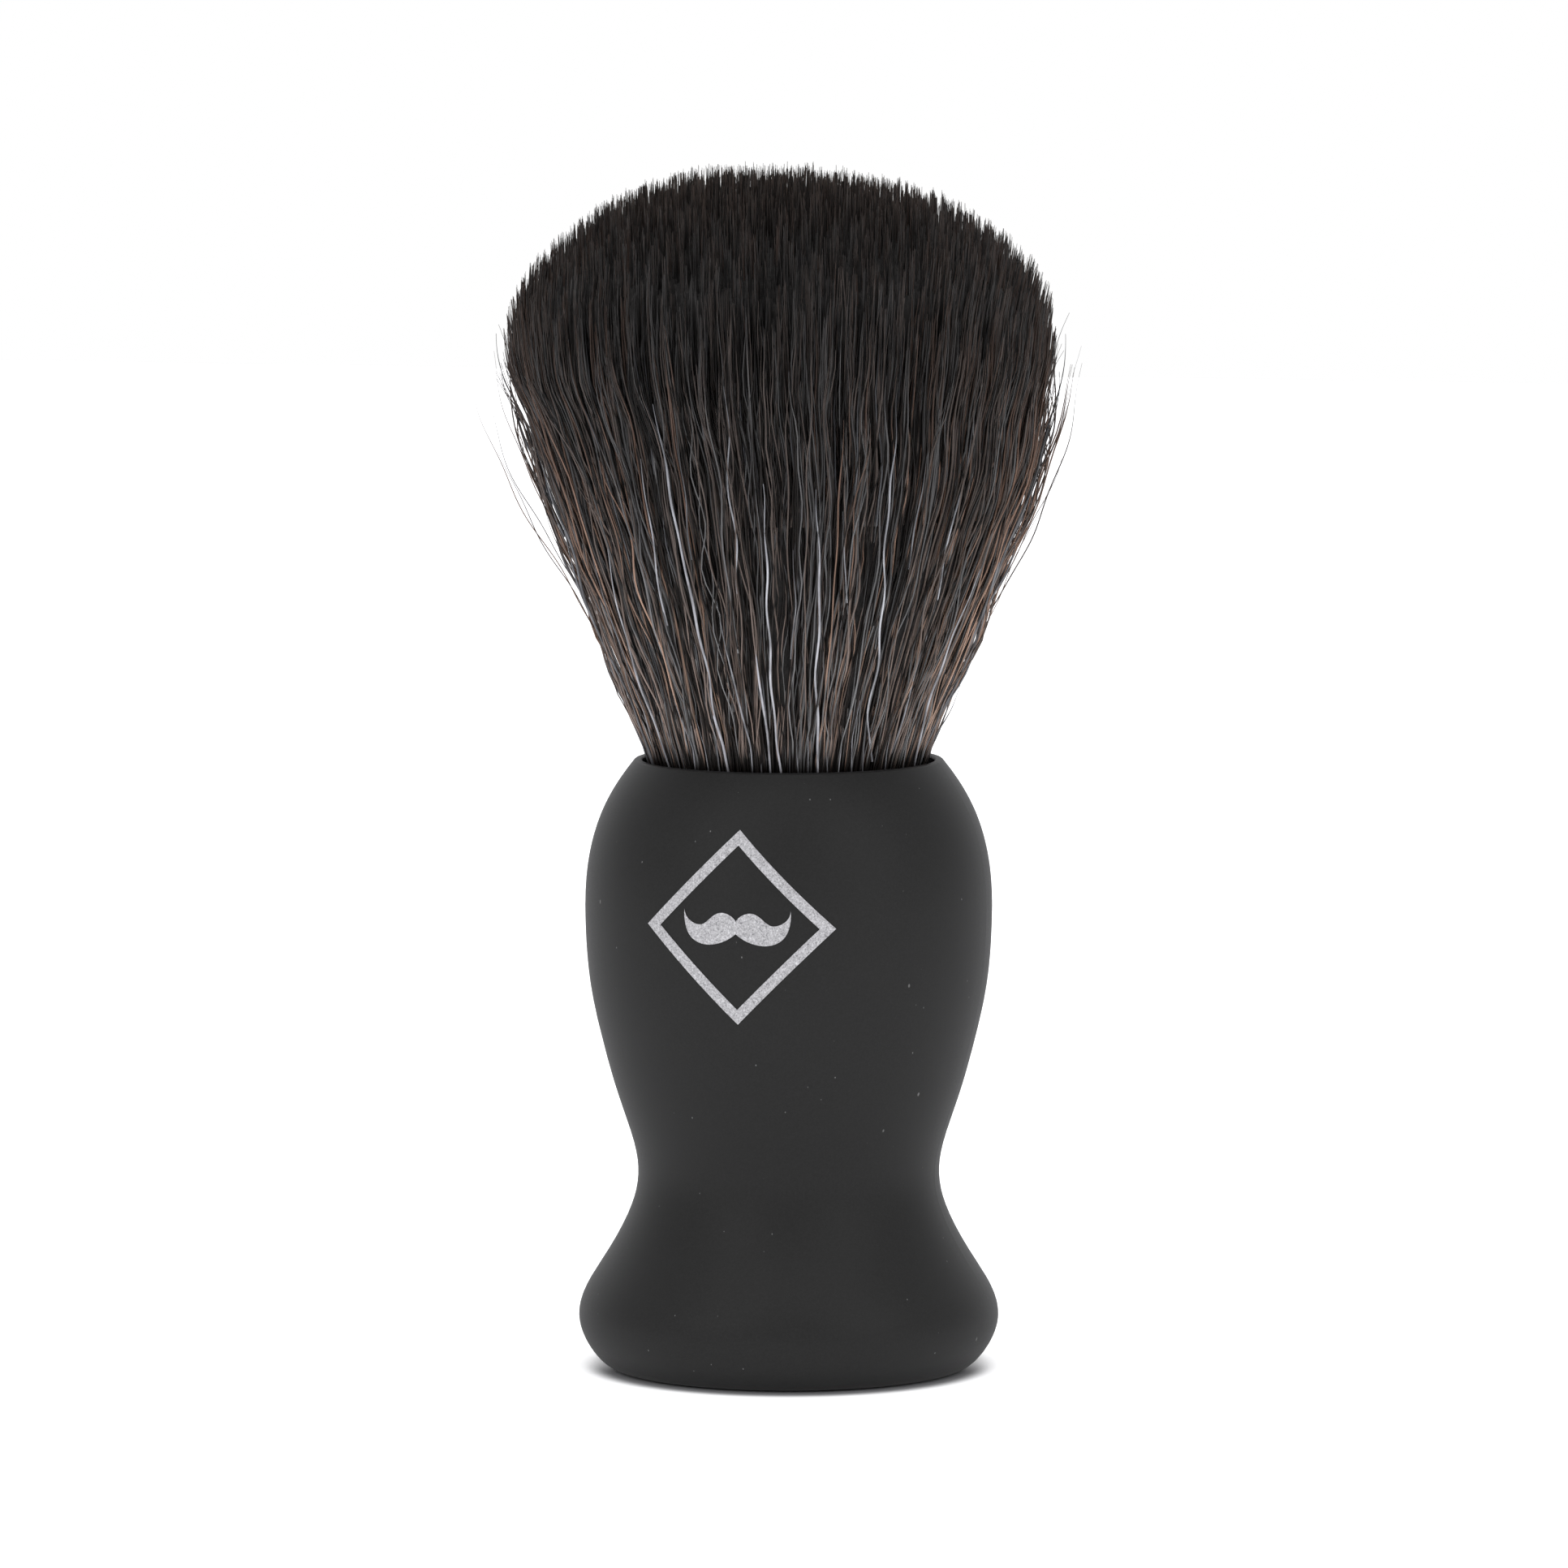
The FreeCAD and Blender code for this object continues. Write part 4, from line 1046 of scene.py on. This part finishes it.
SHADED_CORE = shaded_core_material()
OVERLAP = 0.3  # how far each half of the core reaches past the upper bend
dome_start = float(dome_height(INNER_SHARE)) - 4.0
core_low = core("knot_core_lower", core_side(52.4, HIGH_BEND + OVERLAP), SHADED_CORE)
high_rings = core_side(HIGH_BEND - OVERLAP, dome_start) + core_dome()
core_high = core("knot_core_upper", high_rings, SHADED_CORE)


def bend(pieces):
    for piece in pieces:
        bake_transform(piece)


bend(lower_pieces + [core_low, pale_low, stray_low])
bend(upper_pieces + [core_high, pale_high, stray_high])
for piece in tip_pieces:
    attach(piece, "fibre_upper")
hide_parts("fibre_roots", "fibre_belly")
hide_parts("fibre_crown")


# ---------------------------------------------------------------- floor
def floor_material():
    """Glowing white paper, with a close dark shadow painted round the foot."""
    mat, tree, bsdf = new_material("white_sweep")
    paper = noise(tree, scale=0.02, detail=2.0, roughness=0.5)
    white = mix_colour(tree, paper, (0.86, 0.86, 0.87), (0.88, 0.88, 0.885))
    # distance from a point 0.7 mm in front of the axis, and how far a place faces the viewer
    coords = add(tree, "ShaderNodeTexCoord")
    flat = vector_math(tree, "MULTIPLY", coords.outputs["Object"], (1, 1, 0))
    moved = vector_math(tree, "SUBTRACT", flat, tuple(0.0007 * FRONT))
    distance = vector_math(tree, "LENGTH", moved, output="Value")
    toward = vector_math(tree, "NORMALIZE", flat)
    facing = vector_math(tree, "DOT_PRODUCT", toward, tuple(FRONT), output="Value")
    strength = map_range(tree, facing, between=(-0.10, 0.32), to=(0.40, 1.0))
    shade = map_range(tree, distance, between=(0.0168, 0.0191), to=(1.0, 0.0))
    path = tree.nodes.new("ShaderNodeLightPath")
    # the shadow is full for the camera and a quarter as strong for other rays
    seen = map_range(tree, path.outputs["Is Camera Ray"], between=(0.0, 1.0), to=(0.25, 1.0))
    strength = math_node(tree, "MULTIPLY", strength, seen)
    shadow = math_node(tree, "MULTIPLY", shade, strength)
    lit = math_node(tree, "SUBTRACT", 1.0, shadow)
    set_inputs(
        tree,
        bsdf,
        Base_Color=mix_colour(tree, lit, (0.30, 0.30, 0.31), white),
        Roughness=0.7,
        Specular_IOR_Level=0.2,
        Emission_Color=WHITE,
        Emission_Strength=math_node(tree, "MULTIPLY", lit, 0.30),
    )
    # shiny surfaces see only a part of the paper's glare
    black = tree.nodes.new("ShaderNodeBsdfDiffuse")
    black.inputs["Color"].default_value = (0, 0, 0, 1)
    mixer = tree.nodes.new("ShaderNodeMixShader")
    dimmed = math_node(tree, "MULTIPLY", path.outputs["Is Glossy Ray"], 0.52)
    feed(tree, mixer.inputs[0], dimmed)
    tree.links.new(bsdf.outputs[0], mixer.inputs[1])
    tree.links.new(black.outputs[0], mixer.inputs[2])
    output = next(n for n in tree.nodes if n.type == "OUTPUT_MATERIAL")
    tree.links.new(mixer.outputs[0], output.inputs["Surface"])
    return mat


bpy.ops.mesh.primitive_plane_add(size=3.0, location=(0, 0, -0.00002))
floor = bpy.context.object
floor.name = "floor"
floor.data.materials.append(floor_material())


# ---------------------------------------------------------------- studio
def studio_world():
    """Even light for matt surfaces; reflections are bright from behind and dim from in front."""
    world = bpy.data.worlds.new("studio")
    world.use_nodes = True
    tree = world.node_tree
    tree.nodes.clear()
    out = tree.nodes.new("ShaderNodeOutputWorld")
    direction = tree.nodes.new("ShaderNodeTexCoord").outputs["Generated"]
    split = tree.nodes.new("ShaderNodeSeparateXYZ")
    tree.links.new(direction, split.inputs[0])
    height = split.outputs[2]
    facing = vector_math(tree, "DOT_PRODUCT", direction, tuple(FRONT), output="Value")
    path = tree.nodes.new("ShaderNodeLightPath")

    def background(strength, colour):
        node = tree.nodes.new("ShaderNodeBackground")
        set_inputs(tree, node, Color=colour, Strength=strength)
        return node.outputs[0]

    def choose(ray, otherwise, chosen):
        node = tree.nodes.new("ShaderNodeMixShader")
        for socket, source in zip(node.inputs, (path.outputs[ray], otherwise, chosen)):
            tree.links.new(source, socket)
        return node.outputs[0]

    matt = map_range(tree, height, between=(0.0, 0.95), to=(0.50, 1.75), smooth=False)
    behind = map_range(tree, facing, between=(-1.0, -0.20), to=(0.84, 0.322))
    overhead = map_range(tree, height, between=(0.25, 0.95), to=(1.0, 0.76))
    shine = math_node(tree, "MULTIPLY", behind, overhead)
    matt = background(matt, (0.99, 0.99, 1.0, 1))
    shine = background(shine, (0.985, 0.99, 1.0, 1))
    lit = choose("Is Glossy Ray", matt, shine)
    surface = choose("Is Camera Ray", lit, background(1.0, WHITE))
    tree.links.new(surface, out.inputs["Surface"])
    world.cycles.sampling_method = "NONE"  # so that each kind of ray really sees its own light
    return world


def softbox(name, azimuth, elevation, distance, size, power):
    """An area light aimed at the brush. Azimuth is measured from the viewer, in degrees, positive
    to the viewer's right."""
    turn, tilt = math.radians(azimuth) + VIEW_TURN, math.radians(elevation)
    level = math.cos(tilt)
    direction = Vector((math.sin(turn) * level, -math.cos(turn) * level, math.sin(tilt)))
    light = bpy.data.lights.new(name, "AREA")
    light.shape = "RECTANGLE"
    light.size, light.size_y = size
    light.energy = power
    obj = add_object(name, light)
    obj.location = Vector((0, 0, 0.07)) + direction * distance
    obj.rotation_euler = (-direction).to_track_quat("-Z", "Y").to_euler()


def add_camera():
    """A long lens in front of the brush, looking slightly down."""
    data = bpy.data.cameras.new("camera")
    data.sensor_width = 36.0
    data.lens = 228.819876
    data.clip_start, data.clip_end = 0.05, 40.0
    data.shift_x = -0.0030020704
    camera = add_object("camera", data)
    camera.location = Vector(FRONT) * 0.9 + Vector((0, 0, 0.143))
    pitch = math.radians(5.70)
    looking = -Vector(FRONT) * math.cos(pitch) - Vector((0, 0, 1)) * math.sin(pitch)
    camera.rotation_euler = looking.to_track_quat("-Z", "Y").to_euler()
    return camera


scene = bpy.context.scene
scene.world = studio_world()
softbox("key_left", azimuth=-42, elevation=30, distance=1.1, size=(0.7, 0.9), power=1.3)
softbox("key_right", azimuth=46, elevation=28, distance=1.1, size=(0.7, 0.9), power=1.3)
softbox("top", azimuth=0, elevation=80, distance=1.0, size=(0.8, 0.8), power=2.0)
scene.view_settings.view_transform = "Standard"
scene.view_settings.look = "None"
scene.view_settings.exposure = 0.0
scene.view_settings.gamma = 1.0
scene.camera = add_camera()
